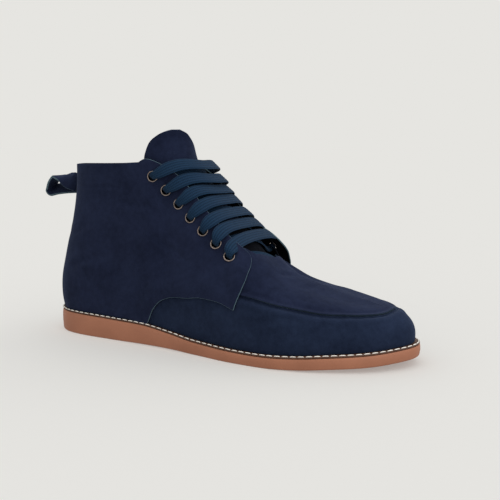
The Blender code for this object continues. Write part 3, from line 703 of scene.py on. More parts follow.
# %% Pattern lines on the last
Edge = namedtuple("Edge", "key rise")
MOC_SEAM = [
    Edge(0.560, 0.440),
    Edge(0.585, 0.463),
    Edge(0.615, 0.500),
    Edge(0.645, 0.513),
    Edge(0.680, 0.525),
    Edge(0.718, 0.525),
    Edge(0.775, 0.588),
    Edge(0.850, 0.675),
    Edge(0.907, 0.740),
    Edge(0.955, 0.825),
    Edge(0.985, 0.862),
    Edge(1.000, 0.866),
]
QUARTER_FRONT = [
    Edge(0.573, 0.300),
    Edge(0.585, 0.540),
    Edge(0.588, 0.670),
    Edge(0.588, 0.800),
    Edge(0.584, 0.930),
    Edge(0.579, 0.980),
    Edge(0.573, 1.000),
]
QUARTER_HEM = [
    Edge(0.000, 0.000),
    Edge(0.380, 0.000),
    Edge(0.395, 0.000),
    Edge(0.410, 0.100),
    Edge(0.427, 0.175),
    Edge(0.445, 0.213),
    Edge(0.480, 0.263),
    Edge(0.512, 0.312),
    Edge(0.545, 0.325),
    Edge(0.573, 0.300),
]
WING_TOP = [
    Edge(0.360, 0.020),
    Edge(0.395, 0.080),
    Edge(0.410, 0.180),
    Edge(0.427, 0.260),
    Edge(0.445, 0.300),
    Edge(0.480, 0.350),
    Edge(0.512, 0.400),
    Edge(0.545, 0.420),
    Edge(0.573, 0.450),
]
SEAM_START = MOC_SEAM[0].key
FRONT_KEY = QUARTER_FRONT[0].key
HEM_START = QUARTER_HEM[2].key      # here the hem leaves the welt


def rise_on(edge, key):
    return smooth(column(edge, "key"), column(edge, "rise"), key)


MEDIAL_BACK = 0.008
BACK_FROM_RISE = 0.6        # from this rise up it stands back by the full amount


def front_key(rise, side):
    """Front edge of a quarter; on the inner side it stands a little further back."""
    rise = min(max(rise, QUARTER_FRONT[0].rise), 1.0)
    back = MEDIAL_BACK * ease(rise, QUARTER_FRONT[0].rise, BACK_FROM_RISE) if side == MEDIAL else 0.0
    return smooth(column(QUARTER_FRONT, "rise"), column(QUARTER_FRONT, "key"), rise) - back


def edge_line(keys, rises, side):
    """Closely set points along an edge of a pattern."""
    fine = np.linspace(0.0, 1.0, 4000)
    spots = np.linspace(0.0, 1.0, len(keys))
    return last_points(np.interp(fine, spots, keys), np.interp(fine, spots, rises), side)


seam_keys = np.linspace(SEAM_START, 1.0, 300)
seam_rises = [rise_on(MOC_SEAM, key) for key in seam_keys]
moc_lines = {side: edge_line(seam_keys, seam_rises, side) for side in (LATERAL, MEDIAL)}
moc_line = np.concatenate(list(moc_lines.values()))

front_rises = np.linspace(QUARTER_FRONT[0].rise, 1.0, 60)
hem_keys = np.linspace(HEM_START, FRONT_KEY, 80)
hem_rises = [rise_on(QUARTER_HEM, key) for key in hem_keys]
quarter_edges = {side: np.concatenate([edge_line([front_key(rise, side) for rise in front_rises],
                                                 front_rises, side),
                                       edge_line(hem_keys, hem_rises, side)])
                 for side in (LATERAL, MEDIAL)}
quarter_edge = np.concatenate(list(quarter_edges.values()))
tip = quarter_edges[LATERAL][0]
print("quarter's tip at, mm:", [round(1000 * v, 1) for v in tip])

# %% [markdown]
# The eyelets were set in the solid model, so their places are read from it. Each one looks straight
# out of the facing, and that direction is the axis of its turned body.

# %% Eyelet seats
EYELETS = 7
SEAT_DEPTH = 0.0014          # the seat lies this far under the top of an eyelet's rim


def eyelet_axis(node):
    """Middle of an eyelet on the facing, and the direction in which it looks."""
    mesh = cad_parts[node].data
    points = np.empty(len(mesh.vertices) * 3)
    mesh.vertices.foreach_get("co", points)
    points = points.reshape(-1, 3)
    side_sum = points[:, 1].min() + points[:, 1].max()      # its sign tells on which side the eyelet is
    centred = points - points.mean(axis=0)
    _, directions = np.linalg.eigh(centred.T @ centred)
    axis = directions[:, 0]
    if axis[1] * side_sum < 0.0:
        axis = -axis
    reach = centred @ axis
    face = points.mean(axis=0) + axis * (reach.max() + reach.min()) / 2.0
    crown = (reach.max() - reach.min()) / 2.0
    return Vector(face + axis * (crown - SEAT_DEPTH)), Vector(axis)


SIDE_NAMES = {LATERAL: "lateral", MEDIAL: "medial"}
seats = {}
for side, side_name in SIDE_NAMES.items():
    for number in range(EYELETS):
        seats[side, number] = eyelet_axis(f"eyelet_{side_name}_{number + 1}")
for number in (0, EYELETS - 1):
    place, axis = seats[LATERAL, number]
    print("seat", number + 1, [round(1000 * v, 1) for v in place], [round(v, 2) for v in axis])

# %% [markdown]
# Worn and displayed boots show where a hand or a foot has bent them. The main creases are listed one
# by one, each as a soft trough with a low ridge beside it: across the vamp where the toes flex, at the
# ankle and low on the heel. Each is a short bow between two places on the last.

# %% Creases
Crease = namedtuple("Crease", "from_key from_rise to_key to_rise bow depth width")
CREASES = [
    Crease(0.150, 0.30, 0.330, 0.40, 0.05, 0.8, 5.0),
    Crease(0.080, 0.58, 0.260, 0.66, -0.04, 0.5, 6.0),
    Crease(0.330, 0.78, 0.450, 0.62, 0.04, 0.8, 5.0),
    Crease(0.380, 0.60, 0.500, 0.50, -0.03, 0.6, 5.0),
    Crease(0.600, 0.16, 0.680, 0.40, 0.03, 0.7, 4.5),
    Crease(0.690, 0.12, 0.740, 0.44, -0.03, 0.6, 4.5),
    Crease(0.620, 1.05, 0.650, 1.95, 0.06, 0.6, 5.0),
    Crease(0.680, 1.00, 0.700, 1.95, -0.05, 0.5, 5.0),
]
CREASE_POINTS = 160
CREASE_REACH = 3.0          # a crease is felt this many of its widths away
RIDGE_SHARE = 0.55          # height of the ridge beside it, as a share of its depth


def crease_line(crease, side):
    share = np.linspace(0.0, 1.0, CREASE_POINTS)
    keys = crease.from_key + (crease.to_key - crease.from_key) * share
    rises = crease.from_rise + (crease.to_rise - crease.from_rise) * share
    surface = vamp_points if crease.from_key > THROAT else last_points
    return surface(keys, rises + crease.bow * np.sin(math.pi * share), side)


def creased(points):
    """How far the creases push each point along its normal."""
    moved = np.zeros(len(points))
    for crease in CREASES:
        for side in (LATERAL, MEDIAL):
            line = crease_line(crease, side)
            reach = CREASE_REACH * crease.width / 1000.0
            near = np.all((points > line.min(axis=0) - reach) & (points < line.max(axis=0) + reach), axis=1)
            spots = np.flatnonzero(near)
            if not len(spots):
                continue
            gaps = np.linalg.norm(points[spots, None, :] - line[None, ::4, :], axis=2)
            nearest = gaps.argmin(axis=1) / (gaps.shape[1] - 1)
            fade = np.sin(math.pi * np.clip(nearest, 0.0, 1.0)) ** 1.5
            away = gaps.min(axis=1) * 1000.0
            trough = bell(away, 0.0, crease.width / 2.2)
            ridge = bell(away, crease.width, crease.width / 1.8)
            moved[spots] += crease.depth / 1000.0 * fade * (-trough + RIDGE_SHARE * ridge)
    return moved


def hand_made(points):
    """Unevenness of leather pulled by hand, with the creases."""
    wide = unevenness(points, 0.030, 0.0005, 3.0)
    fine = unevenness(points, 0.011, 0.00016, 9.0)
    return wide + fine + creased(points)


print("creases:", 2 * len(CREASES))

# %% [markdown]
# The vamp wall is one strip that runs round the toe from wing to wing. Its upper edge is gathered a
# little and turned up against the plug, so beside the seam there is a deep groove and then a soft
# rounded rim, which is fattest at the toe. Its wings run back under the quarters.

# %% Vamp wall
SUEDE_THICKNESS = 0.0013
CLIMB_STEPS = 200           # short steps in which a section is measured


def climb(key, side, low, high, spots):
    """Rises from low to high along a section; spots gives the shares of the way from its length."""
    rises = np.linspace(low, high, CLIMB_STEPS)
    path = last_points(key, rises, side)
    gone = np.concatenate([[0.0], np.cumsum(np.linalg.norm(np.diff(path, axis=0), axis=1))])
    return np.interp(spots(gone[-1]) if callable(spots) else np.asarray(spots) * gone[-1], gone, rises)


def fine_near_end(length, fine_reach, fine_count, coarse_count):
    """Places along a length: even at first, then close together over the last stretch."""
    reach = min(fine_reach, 0.6 * length)
    coarse = np.linspace(0.0, length - reach, coarse_count)
    return np.concatenate([coarse[:-1], np.linspace(length - reach, length, fine_count)])


def seam_top(key):
    """Upper edge of the vamp wall's visible part."""
    return rise_on(WING_TOP, key) if key < FRONT_KEY else rise_on(MOC_SEAM, key)


SEAM_REACH = 0.009          # rows of points are close together this near to the moc seam
UNDER_PLUG = 0.003
TUCKED_ROWS = 6
WING_BACK = WING_TOP[0].key
wing_columns = np.linspace(WING_BACK, SEAM_START, 60)[:-1]
wall_columns = np.concatenate([wing_columns, np.linspace(SEAM_START, 1.0, 210)])
wall_sheets = []
for side in (LATERAL, MEDIAL):
    grid = []
    for key in wall_columns:
        top = seam_top(key)
        run = climb(key, side, 0.0, top, lambda length: fine_near_end(length, SEAM_REACH, 26, 22))
        step = 0.01
        speed = np.linalg.norm(last_points(key, top + step, side) - last_points(key, top, side)) / step
        tucked = top + np.linspace(0.0, UNDER_PLUG, TUCKED_ROWS + 1)[1:] / speed
        grid.append(last_points(key, np.concatenate([run, tucked]), side))
    grid = np.array(grid).transpose(1, 0, 2)
    rows, columns = grid.shape[:2]
    facts = np.zeros((rows, columns, 2))
    facts[rows - TUCKED_ROWS:, :, 0] = 1.0
    facts[..., 1] = wall_columns[None, :]
    wall_sheets.append((grid, facts, side))

GROOVE = Swell(-1.6, 1.1, 1.8)
RIM = Swell(0.45, 5.4, 2.4)
TOE_RIM = Swell(0.40, 5.4, 2.4)
GATHERS = Swell(0.12, 3.0, 2.5)
TUCKED = -2.0
UNDER_QUARTER = -0.0002
SHOWN_FROM, SHOWN_TO = 0.570, 0.582         # keys between which the wall comes out from under the quarter
TOE_FROM, TOE_TO = 0.70, 0.88               # keys between which the rim grows fat
PUCKERS, PUCKER_DRIFT = 900.0, 210.0        # angle per metre of the gathers, and of their drift


def wall_relief(points, facts):
    """Groove and rim beside the moc seam; what is tucked under the plug stays low."""
    away = distance_to(points, moc_line) * 1000.0
    shown = ease(facts[:, 1], SHOWN_FROM, SHOWN_TO)
    toe = ease(facts[:, 1], TOE_FROM, TOE_TO)
    open_seam = swelling(away, [GROOVE, RIM]) + toe * swelling(away, [TOE_RIM])
    seam = np.where(facts[:, 0] > 0.5, TUCKED, open_seam)
    puckers = np.sin(points[:, 0] * PUCKERS + 1.7 * np.sin(points[:, 0] * PUCKER_DRIFT))
    gathers = puckers * swelling(away, [GATHERS])
    return (seam + gathers) * shown / 1000.0 + UNDER_QUARTER * (1.0 - shown) + hand_made(points)


vamp = leather("vamp_wall", wall_sheets, wall_relief, SUEDE_THICKNESS, [navy_painted_lighter_for_walls, cut_edge_with_highlight])
finish_piece(vamp, ["upper"])

# %% [markdown]
# The plug is the moccasin's lid. It is cut a little too wide and its edge is turned up, so the seam
# stands as a fine raised lip with a shallow hollow behind it. Its surface faces the sky, so it looks
# lighter than the walls, though the walls wear a copy of its suede that is painted a little lighter.

# %% Plug
plug_columns = np.linspace(SEAM_START, 1.0, 190)
THROAT_TUCK = 0.0204
RIDGE_TUCK = 0.0070
TUCK_MIDDLE = 1.25          # the back edge leans by the first amount up to this rise, then by the second
TUCK_END = 0.64


def plug_key(key, rise):
    """The plug ends at the throat: its back edge leans forward as it nears the ridge."""
    tuck = THROAT_TUCK * ease(rise, 0.98, TUCK_MIDDLE) + RIDGE_TUCK * ease(rise, TUCK_MIDDLE, 2.0)
    return key + tuck * (1.0 - ease(key, SEAM_START, TUCK_END))


def fine_near_start(length, fine_reach, fine_count, coarse_count):
    return length - fine_near_end(length, fine_reach, fine_count, coarse_count)[::-1]


plug_sheets = []
for side in (LATERAL, MEDIAL):
    grid = []
    for key in plug_columns:
        low = rise_on(MOC_SEAM, key)
        rises = climb(key, side, low, 2.0, lambda length: fine_near_start(length, SEAM_REACH, 28, 26))
        keys = np.array([plug_key(key, rise) for rise in rises])
        grid.append(vamp_points(keys, rises, side))
    plug_sheets.append(plain_sheet(np.array(grid).transpose(1, 0, 2), side))

PLUG_LIP = [Swell(0.60, 0.2, 1.2), Swell(-0.35, 3.0, 1.7)]


def plug_relief(points, facts):
    away = distance_to(points, moc_line) * 1000.0
    return swelling(away, PLUG_LIP) / 1000.0 + hand_made(points)


plug = leather("plug", plug_sheets, plug_relief, SUEDE_THICKNESS, [navy, lining_and_shade_look, plug_edge_with_shade], inside=1,
               thin_at=toe_cap)
finish_piece(plug, ["upper"])

# %% [markdown]
# The eyelet holes are punched through suede and lining alike, each along its own eyelet's axis. One
# punch with fourteen pins does them all.

# %% Hole punch
PUNCH_RADIUS = 0.0036
PUNCH_DEPTH = 0.016
punch_mesh = bmesh.new()
for place, axis in seats.values():
    turn = Vector((0.0, 0.0, 1.0)).rotation_difference(axis)
    bmesh.ops.create_cone(punch_mesh, cap_ends=True, segments=24, radius1=PUNCH_RADIUS,
                          radius2=PUNCH_RADIUS, depth=PUNCH_DEPTH,
                          matrix=Matrix.Translation(place) @ turn.to_matrix().to_4x4())
punch_data = bpy.data.meshes.new("eyelet_punch")
punch_mesh.to_mesh(punch_data)
punch_mesh.free()
punch = bpy.data.objects.new("eyelet_punch", punch_data)
print("punch:", len(seats), "pins")

# %% [markdown]
# The two quarters are drawn here as one piece, closed by the seam up the heel. They lie on top of the
# vamp, so near their front edge and hem they stand one leather higher, and the raw cut edge shows.

# %% Quarters
QUARTER_LIFT = 0.0016
QUARTER_THICKNESS = 0.0010
CLOSER_TO_FRONT = 1.15      # above 1 the columns crowd together towards the front edge
BEND_TO_FRONT = 8           # the higher, the later the columns take the front edge's shape
seat_points = np.array([tuple(place) for place, _ in seats.values()])
quarter_shares = 1.0 - (1.0 - np.linspace(0.0, 1.0, 190)) ** CLOSER_TO_FRONT
quarter_sheets = []
for side in (LATERAL, MEDIAL):
    grid = []
    for share in quarter_shares:
        base = share * FRONT_KEY
        low = rise_on(QUARTER_HEM, base)
        rises = climb(base, side, low, 1.0, np.linspace(0.0, 1.0, 74))
        bend = share ** BEND_TO_FRONT
        keys = np.array([base + bend * (front_key(rise, side) - FRONT_KEY) for rise in rises])
        grid.append(last_points(keys, rises, side))
    quarter_sheets.append(plain_sheet(np.array(grid).transpose(1, 0, 2), side))

BACK_SEAM = Swell(-0.7, 0.0, 0.8)
BACK_SEAM_END = 0.03
SEAT_FLAT, SEAT_FREE = 0.0046, 0.0072       # flat up to here round an eyelet, and free from here on
LIFT_AT_SEATS = 0.25                        # share of the lift that is left round the eyelets
COLLAR_SEAM = [Swell(0.50, 114.5, 0.9), Swell(-0.45, 116.3, 1.1)]       # here middle is a height


def quarter_relief(points, facts):
    """Raised front edge, flat round the eyelets, with the back seam and the seam under the collar."""
    lift = QUARTER_LIFT * (1.0 - ease(distance_to(points, quarter_edge), 0.006, 0.020))
    off_seats = ease(distance_to(points, seat_points), SEAT_FLAT, SEAT_FREE)
    across = points[:, 1] * 1000.0
    back_seam = swelling(across, [BACK_SEAM]) / 1000.0 * (points[:, 0] < BACK_SEAM_END)
    along = ease(points[:, 0], 0.002, 0.010) * (1.0 - ease(points[:, 0], 0.040, 0.050))
    collar_seam = swelling(points[:, 2] * 1000.0, COLLAR_SEAM) * along / 1000.0
    lift *= LIFT_AT_SEATS + (1.0 - LIFT_AT_SEATS) * off_seats
    return lift + hand_made(points) * off_seats + back_seam + collar_seam


quarters = leather("quarters", quarter_sheets, quarter_relief, QUARTER_THICKNESS,
                   [navy, lining_and_shade_look, cut_edge_with_highlight], edge_round=0.00045, drill=punch, inside=1)
# suede is turned in over the collar, so the band behind its top edge is navy too
COLLAR_BAND_FROM = 0.126
COLLAR_BAND_TO_X = 0.062
for face in quarters.data.polygons:
    if face.center.z > COLLAR_BAND_FROM and face.center.x < COLLAR_BAND_TO_X:
        face.material_index = 0
finish_piece(quarters, ["upper"])

# %% [markdown]
# A soft leather lining covers the whole inside. It is glued to the suede, so it follows the same
# last one leather deeper, and it carries the eyelet holes too.

# %% Lining
LINING_DEPTH = 0.0015
LINING_THICKNESS = 0.0007
LINING_START, LINING_TOP = 0.004, 0.994         # rises of its lower edge and of its edge at the collar
TOE_ROOM = 0.0045           # the lining hangs this much lower under the toe
SHAFT_COLUMNS = 90
shaft_columns = np.linspace(0.0, THROAT, SHAFT_COLUMNS)
lining_columns = np.concatenate([shaft_columns[:-1], np.linspace(THROAT, 1.0, 70)])
crown_columns = lining_columns[SHAFT_COLUMNS:]
wall_rises = np.linspace(LINING_START, LINING_TOP, 30)
crown_rises = np.linspace(LINING_TOP, 2.0, 24)
lining_sheets = []
for side in (LATERAL, MEDIAL):
    grid = np.array([vamp_points(key, wall_rises, side, THROAT, 0.03) for key in lining_columns])
    lining_sheets.append(plain_sheet(grid.transpose(1, 0, 2), side))
    crown = np.array([vamp_points(key, crown_rises, side) for key in crown_columns])
    crown[..., 2] -= TOE_ROOM * ease(crown_columns[:, None], 0.70, 0.92) * ease(crown_rises, 1.0, 1.4)
    lining_sheets.append(plain_sheet(crown.transpose(1, 0, 2), side))

UNDER_SEAM = Swell(-2.4, 1.0, 3.5)


def lining_relief(points, facts):
    away = distance_to(points, moc_line) * 1000.0
    return hand_made(points) - LINING_DEPTH + swelling(away, [UNDER_SEAM]) / 1000.0


lining = leather("lining", lining_sheets, lining_relief, LINING_THICKNESS, [lining_and_shade_look], drill=punch)
finish_piece(lining, ["upper"])
bpy.data.objects.remove(punch)

# %% [markdown]
# The tongue is a single padded flap of the same suede. It bends round the instep and stands well
# above the collar, and its top edge is cut round. Here its shape comes from a table that follows its
# middle line upward; the edge is rounded over, because suede folds over the padding inside it.

# %% Tongue
Fold = namedtuple("Fold", "ridge_x ridge_z lean radius half_width slide")
TONGUE = [
    Fold(0.1580, 0.0585, 58.0, 0.070, 0.0190, -0.0025),
    Fold(0.1500, 0.0645, 52.0, 0.050, 0.0225, -0.0012),
    Fold(0.1362, 0.0802, 48.0, 0.033, 0.0260, 0.0000),
    Fold(0.1212, 0.0975, 46.0, 0.0265, 0.0270, 0.0000),
    Fold(0.1055, 0.1120, 43.0, 0.0236, 0.0300, 0.0000),
    Fold(0.0943, 0.1252, 34.0, 0.0224, 0.0340, -0.0005),
    Fold(0.0880, 0.1380, 20.0, 0.0235, 0.0320, -0.0095),
    Fold(0.0853, 0.1470, 10.0, 0.0248, 0.0235, -0.0145),
    Fold(0.0850, 0.1532, 5.0, 0.0252, 0.0169, -0.0160),
    Fold(0.0855, 0.1570, 2.0, 0.0252, 0.0107, -0.0151),
    Fold(0.0860, 0.1590, 0.0, 0.0252, 0.0038, -0.0136),
]
TONGUE_THICKNESS = 0.0025
TONGUE_EDGE_ROUND = 0.0009
TONGUE_ROWS, TONGUE_COLUMNS = 110, 60
# below this height the tongue is painted dark as shade
PAINTED_SHADE_BELOW = 0.094         # lower down the tongue is dark, as it lies in the shadow of the throat
CLOSER_TO_TOP = 1.4         # above 1 the rows crowd together near the rounded top
TONGUE_KEYS = [i / (len(TONGUE) - 1) for i in range(len(TONGUE))]


def tongue_value(name, rise):
    return smooth(TONGUE_KEYS, column(TONGUE, name), rise)


def tongue_point(rise, across, depth=0.0):
    """rise runs 0 to 1 up the tongue, across -1 to 1 over it, depth is measured inward."""
    lean = math.radians(tongue_value("lean", rise))
    inward = Vector((-math.cos(lean), 0.0, -math.sin(lean)))
    radius = tongue_value("radius", rise)
    turn = (across * tongue_value("half_width", rise) + tongue_value("slide", rise)) / radius
    ridge = Vector((tongue_value("ridge_x", rise), 0.0, tongue_value("ridge_z", rise)))
    centre = ridge + inward * radius
    spoke = Vector((0.0, math.sin(turn), 0.0)) - inward * math.cos(turn)
    return centre + spoke * (radius - depth)


tongue_rises = [1.0 - (1.0 - j / TONGUE_ROWS) ** CLOSER_TO_TOP for j in range(TONGUE_ROWS + 1)]
tongue_grid = np.array([[tuple(tongue_point(rise, 2.0 * i / TONGUE_COLUMNS - 1.0))
                         for i in range(TONGUE_COLUMNS + 1)] for rise in tongue_rises])


def tongue_relief(points, facts):
    wave = 0.0006 * np.sin(points[:, 1] * 150.0 + 1.0) * ease(points[:, 2], 0.135, 0.156)
    return wave + unevenness(points, 0.022, 0.0004, 5.0) + unevenness(points, 0.009, 0.00015, 2.0)


tongue = leather("tongue_flap", [plain_sheet(tongue_grid, LATERAL)], tongue_relief, TONGUE_THICKNESS,
                 [navy, lining_and_shade_look], edge_round=TONGUE_EDGE_ROUND)
# below that height the tongue gets the dark lining finish: painted shade for the shadow of the throat
for face in tongue.data.polygons:
    face.material_index = 1 if face.center.z < PAINTED_SHADE_BELOW else 0
finish_piece(tongue, ["tongue"])

# %% [markdown]
# The pull loop is a strap of two suede layers glued back to back, so its long edges show two pale
# cut lines with a dark join between them. It leaves the back seam standing on edge, rolls flat,
# bends down and comes back to the heel.

# %% Pull loop route
Strap = namedtuple("Strap", "x y z roll")
PULL_LOOP = [
    Strap(-0.0184, -0.0045, 0.1175, 5.0),
    Strap(-0.0240, -0.0060, 0.1190, 25.0),
    Strap(-0.0325, -0.0035, 0.1218, 72.0),
    Strap(-0.0405, -0.0005, 0.1218, 90.0),
    Strap(-0.0480, 0.0010, 0.1175, 80.0),
    Strap(-0.0512, 0.0020, 0.1125, 64.0),
    Strap(-0.0488, 0.0028, 0.1102, 54.0),
    Strap(-0.0415, 0.0034, 0.1120, 50.0),
    Strap(-0.0320, 0.0042, 0.1136, 45.0),
    Strap(-0.0225, 0.0048, 0.1146, 40.0),
]
STRAP_WIDTH = 0.0145
STRAP_THICKNESS = 0.0018
print("strap:", len(PULL_LOOP), "points")

# %% [markdown]
# Straps, laces, eyelets and the sole's side are all rings of points joined one to the next. These
# tools join the rings and find how a ribbon lies at each of its points.

# %% Tools for rings and ribbons
def ring_faces(count, around):
    """Faces between this many rings, each with the same count of points around."""
    faces = []
    for i in range(count - 1):
        for j in range(around):
            k = (j + 1) % around
            faces.append((i * around + j, i * around + k, (i + 1) * around + k, (i + 1) * around + j))
    return faces


def mesh_from_rings(name, rings, closed_ends=True):
    """Tube mesh through rings of points."""
    rings = np.asarray(rings)
    count, around = rings.shape[:2]
    faces = ring_faces(count, around)
    if closed_ends:
        faces.append(tuple(range(around))[::-1])
        faces.append(tuple((count - 1) * around + j for j in range(around)))
    mesh = bpy.data.meshes.new(name)
    mesh.from_pydata(rings.reshape(-1, 3).tolist(), [], faces)
    mesh.update()
    return mesh


def outward_faces(mesh, join_reach=0.0):
    """Turn all faces outward, after joining points that lie within this reach of each other."""
    fixed = bmesh.new()
    fixed.from_mesh(mesh)
    if join_reach:
        bmesh.ops.remove_doubles(fixed, verts=fixed.verts, dist=join_reach)
    bmesh.ops.recalc_face_normals(fixed, faces=fixed.faces)
    fixed.to_mesh(mesh)
    fixed.free()


def frames_along(points, sides):
    """Width and face directions of a ribbon at each of its points."""
    runs = np.gradient(points, axis=0)
    runs /= np.linalg.norm(runs, axis=1)[:, None]
    across = sides - runs * np.sum(runs * sides, axis=1)[:, None]
    across /= np.linalg.norm(across, axis=1)[:, None]
    return runs, across, np.cross(runs, across)


print("ring tools ready")

# %% [markdown]
# The strap's cross-section is drawn once, with a notch in the middle of each edge for the dark join,
# and rings of it follow the route.

# %% Pull loop
strap_keys = [i / (len(PULL_LOOP) - 1) for i in range(len(PULL_LOOP))]
strap_shares = np.linspace(0.0, 1.0, 150)
strap = {name: np.array([smooth(strap_keys, column(PULL_LOOP, name), share) for share in strap_shares])
         for name in ("x", "y", "z", "roll")}
strap_points = np.stack([strap["x"], strap["y"], strap["z"]], axis=1)
strap_roll = np.radians(strap["roll"])
strap_sides = np.stack([0.0 * strap_roll, np.sin(strap_roll), np.cos(strap_roll)], axis=1)
_, strap_across, strap_face = frames_along(strap_points, strap_sides)
# cross-section of the strap, as shares of its half width and half thickness
STRAP_CORNERS = [(-0.97, 1.0), (-0.5, 1.0), (0.0, 1.0), (0.5, 1.0), (0.97, 1.0), (1.0, 0.85), (1.0, 0.15),
                 (0.965, 0.0), (1.0, -0.15), (1.0, -0.85), (0.97, -1.0), (0.5, -1.0), (0.0, -1.0),
                 (-0.5, -1.0), (-0.97, -1.0), (-1.0, -0.85), (-1.0, -0.15), (-0.965, 0.0), (-1.0, 0.15),
                 (-1.0, 0.85)]
CUT_LAYERS = (5, 8, 15, 18)         # corners from which a face of cut suede starts
STRAP_SHARP = math.radians(35)
strap_rings = np.stack([strap_points + strap_across * (u * STRAP_WIDTH / 2.0)
                        + strap_face * (v * STRAP_THICKNESS / 2.0) for u, v in STRAP_CORNERS], axis=1)
strap_mesh = mesh_from_rings("pull_strap", strap_rings)
outward_faces(strap_mesh)
around = len(STRAP_CORNERS)
for face in strap_mesh.polygons[:(len(strap_rings) - 1) * around]:
    corner = face.index % around
    face.material_index = 1 if corner in CUT_LAYERS else 0
finish_mesh("pull_strap", strap_mesh, [navy, cut_edge_with_highlight], ["pull_loop"], STRAP_SHARP)

# %% [markdown]
# Eyelets of this kind are pressed from brass tube and darkened. Their outer end is rolled over into
# a round bead. Each is turned here from one half section about its own axis.

# %% Eyelets
bronze, bronze_shader = mottled("dark_bronze", 0.38, 0.5, 900.0, 3.0, 0.15, (0.17, 0.14, 0.125),
                                (0.33, 0.27, 0.24))
bronze_shader.inputs["Metallic"].default_value = 1.0

BORE = 0.0032
BARREL = 0.0035
BARREL_END = -0.0012
BEAD_MIDDLE, BEAD_RADIUS = 0.00368, 0.00057
bead = [(BEAD_MIDDLE + BEAD_RADIUS * 0.85 * math.sin(turn), BEAD_RADIUS * (0.25 + 0.95 * math.cos(turn)))
        for turn in np.linspace(-2.0, 2.2, 15)]
eyelet_profile = [(BARREL, BARREL_END), (BARREL, 0.0)] + bead[::-1] + [(BORE, BARREL_END)]
EYELET_TURNS = 40
EYELET_LIFT = 0.0003
JOIN_REACH = 1e-7           # points closer than this are the same point
for (side, number), (place, axis) in seats.items():
    turn = Vector((0.0, 0.0, 1.0)).rotation_difference(axis).to_matrix()
    rings = []
    for step in range(EYELET_TURNS):
        angle = 2.0 * math.pi * step / EYELET_TURNS
        spots = [Vector((radius * math.cos(angle), radius * math.sin(angle), height + EYELET_LIFT))
                 for radius, height in eyelet_profile]
        rings.append([tuple(place + turn @ spot) for spot in spots])
    mesh = mesh_from_rings("eyelet", rings + rings[:1], closed_ends=False)
    outward_faces(mesh, join_reach=JOIN_REACH)
    which = f"{SIDE_NAMES[side]}_{number + 1}"
    finish_mesh(f"eyelet_ring_{which}", mesh, [bronze], [f"eyelet_{which}"])
print("eyelets:", len(seats), "rings, bore", round(2000.0 * BORE, 1), "mm")

# %% [markdown]
# The lace is one flat woven ribbon. It is bunched where it passes an eyelet and opens out over the
# throat, so the seven bars lie close together like shutters. Each bar is a square-shouldered half
# ellipse, and this table says how far forward and up its crest stands.

# %% Lace sizes
Bar = namedtuple("Bar", "forward rise shoulder lean")
BARS = [
    Bar(0.028, 0.008, 0.90, 0.0040),
    Bar(0.025, 0.008, 0.85, 0.0040),
    Bar(0.019, 0.0095, 0.75, 0.0030),
    Bar(0.0135, 0.0115, 0.80, 0.0010),
    Bar(0.0095, 0.011, 0.80, 0.0005),
    Bar(0.0045, 0.011, 0.80, 0.0010),
    Bar(0.001, 0.010, 0.90, 0.0),
]
MEDIAL_SHOULDER = 0.76
LACE_WIDTH = 0.0101
LACE_THICKNESS = 0.0015
PINCHED_WIDTH = 0.0050
PINCHED_THICKNESS = 0.0028
UNDER_WIDTH = 0.0066
UP_THE_THROAT = Vector((-0.78, 0.0, 0.62))
print("lace:", len(BARS), "bars,", round(1000.0 * LACE_WIDTH, 1), "mm wide")

# %% [markdown]
# Behind the facings the lace lies on the tongue, so its way is given as places on the tongue: a rise
# and a share across. The route itself is a list of places with a direction, a width and a thickness.

# %% Places on the tongue
UNDER_LIFT = 0.0018
UNDER_OPEN_PER_STEP = 0.5
TONGUE_SEARCH = 60          # the nearest place is looked for in a net of this many rows and columns
tongue_spots = [(i / TONGUE_SEARCH, 2.0 * j / TONGUE_SEARCH - 1.0)
                for i in range(TONGUE_SEARCH + 1) for j in range(TONGUE_SEARCH + 1)]
tongue_tree = KDTree(len(tongue_spots))
for index, spot in enumerate(tongue_spots):
    tongue_tree.insert(tongue_point(*spot), index)
tongue_tree.balance()


def nearest_on_tongue(point):
    """Rise and share across of the tongue's place nearest to a point."""
    return tongue_spots[tongue_tree.find(point)[1]]


def up_the_tongue(rise, across):
    """Direction in which the tongue climbs here."""
    step = 1.0 / TONGUE_SEARCH
    return tongue_point(min(rise + step, 1.0), across) - tongue_point(max(rise - step, 0.0), across)


def opened(steps_from_end, first, per_step):
    """Share of its full width that the ribbon has regained this far from an eyelet."""
    return min(1.0, first + per_step * steps_from_end)


route = []


def add_to_route(place, share, side=UP_THE_THROAT, full_width=LACE_WIDTH):
    """share is 0 where the lace is pinched in an eyelet and 1 where it lies flat."""
    width = PINCHED_WIDTH + (full_width - PINCHED_WIDTH) * share
    thickness = PINCHED_THICKNESS + (LACE_THICKNESS - PINCHED_THICKNESS) * share
    route.append((*place, *side, width, thickness))


def lie_on_tongue(share, leave, reach, from_end):
    """One place on the way from leave to reach, this many steps from the nearer eyelet."""
    rise = leave[0] + (reach[0] - leave[0]) * share
    across = leave[1] + (reach[1] - leave[1]) * share
    add_to_route(tongue_point(rise, across, -UNDER_LIFT), opened(from_end, 0.0, UNDER_OPEN_PER_STEP),
                 up_the_tongue(rise, across).normalized(), UNDER_WIDTH)


print("tongue:", len(tongue_spots), "places to choose from")

# %% [markdown]
# The route starts at a tail beside the tongue's foot. At each pair of eyelets, from the lowest up, it
# comes out on the outer side, crosses the throat as a bar and goes in again. Then it climbs to the next.

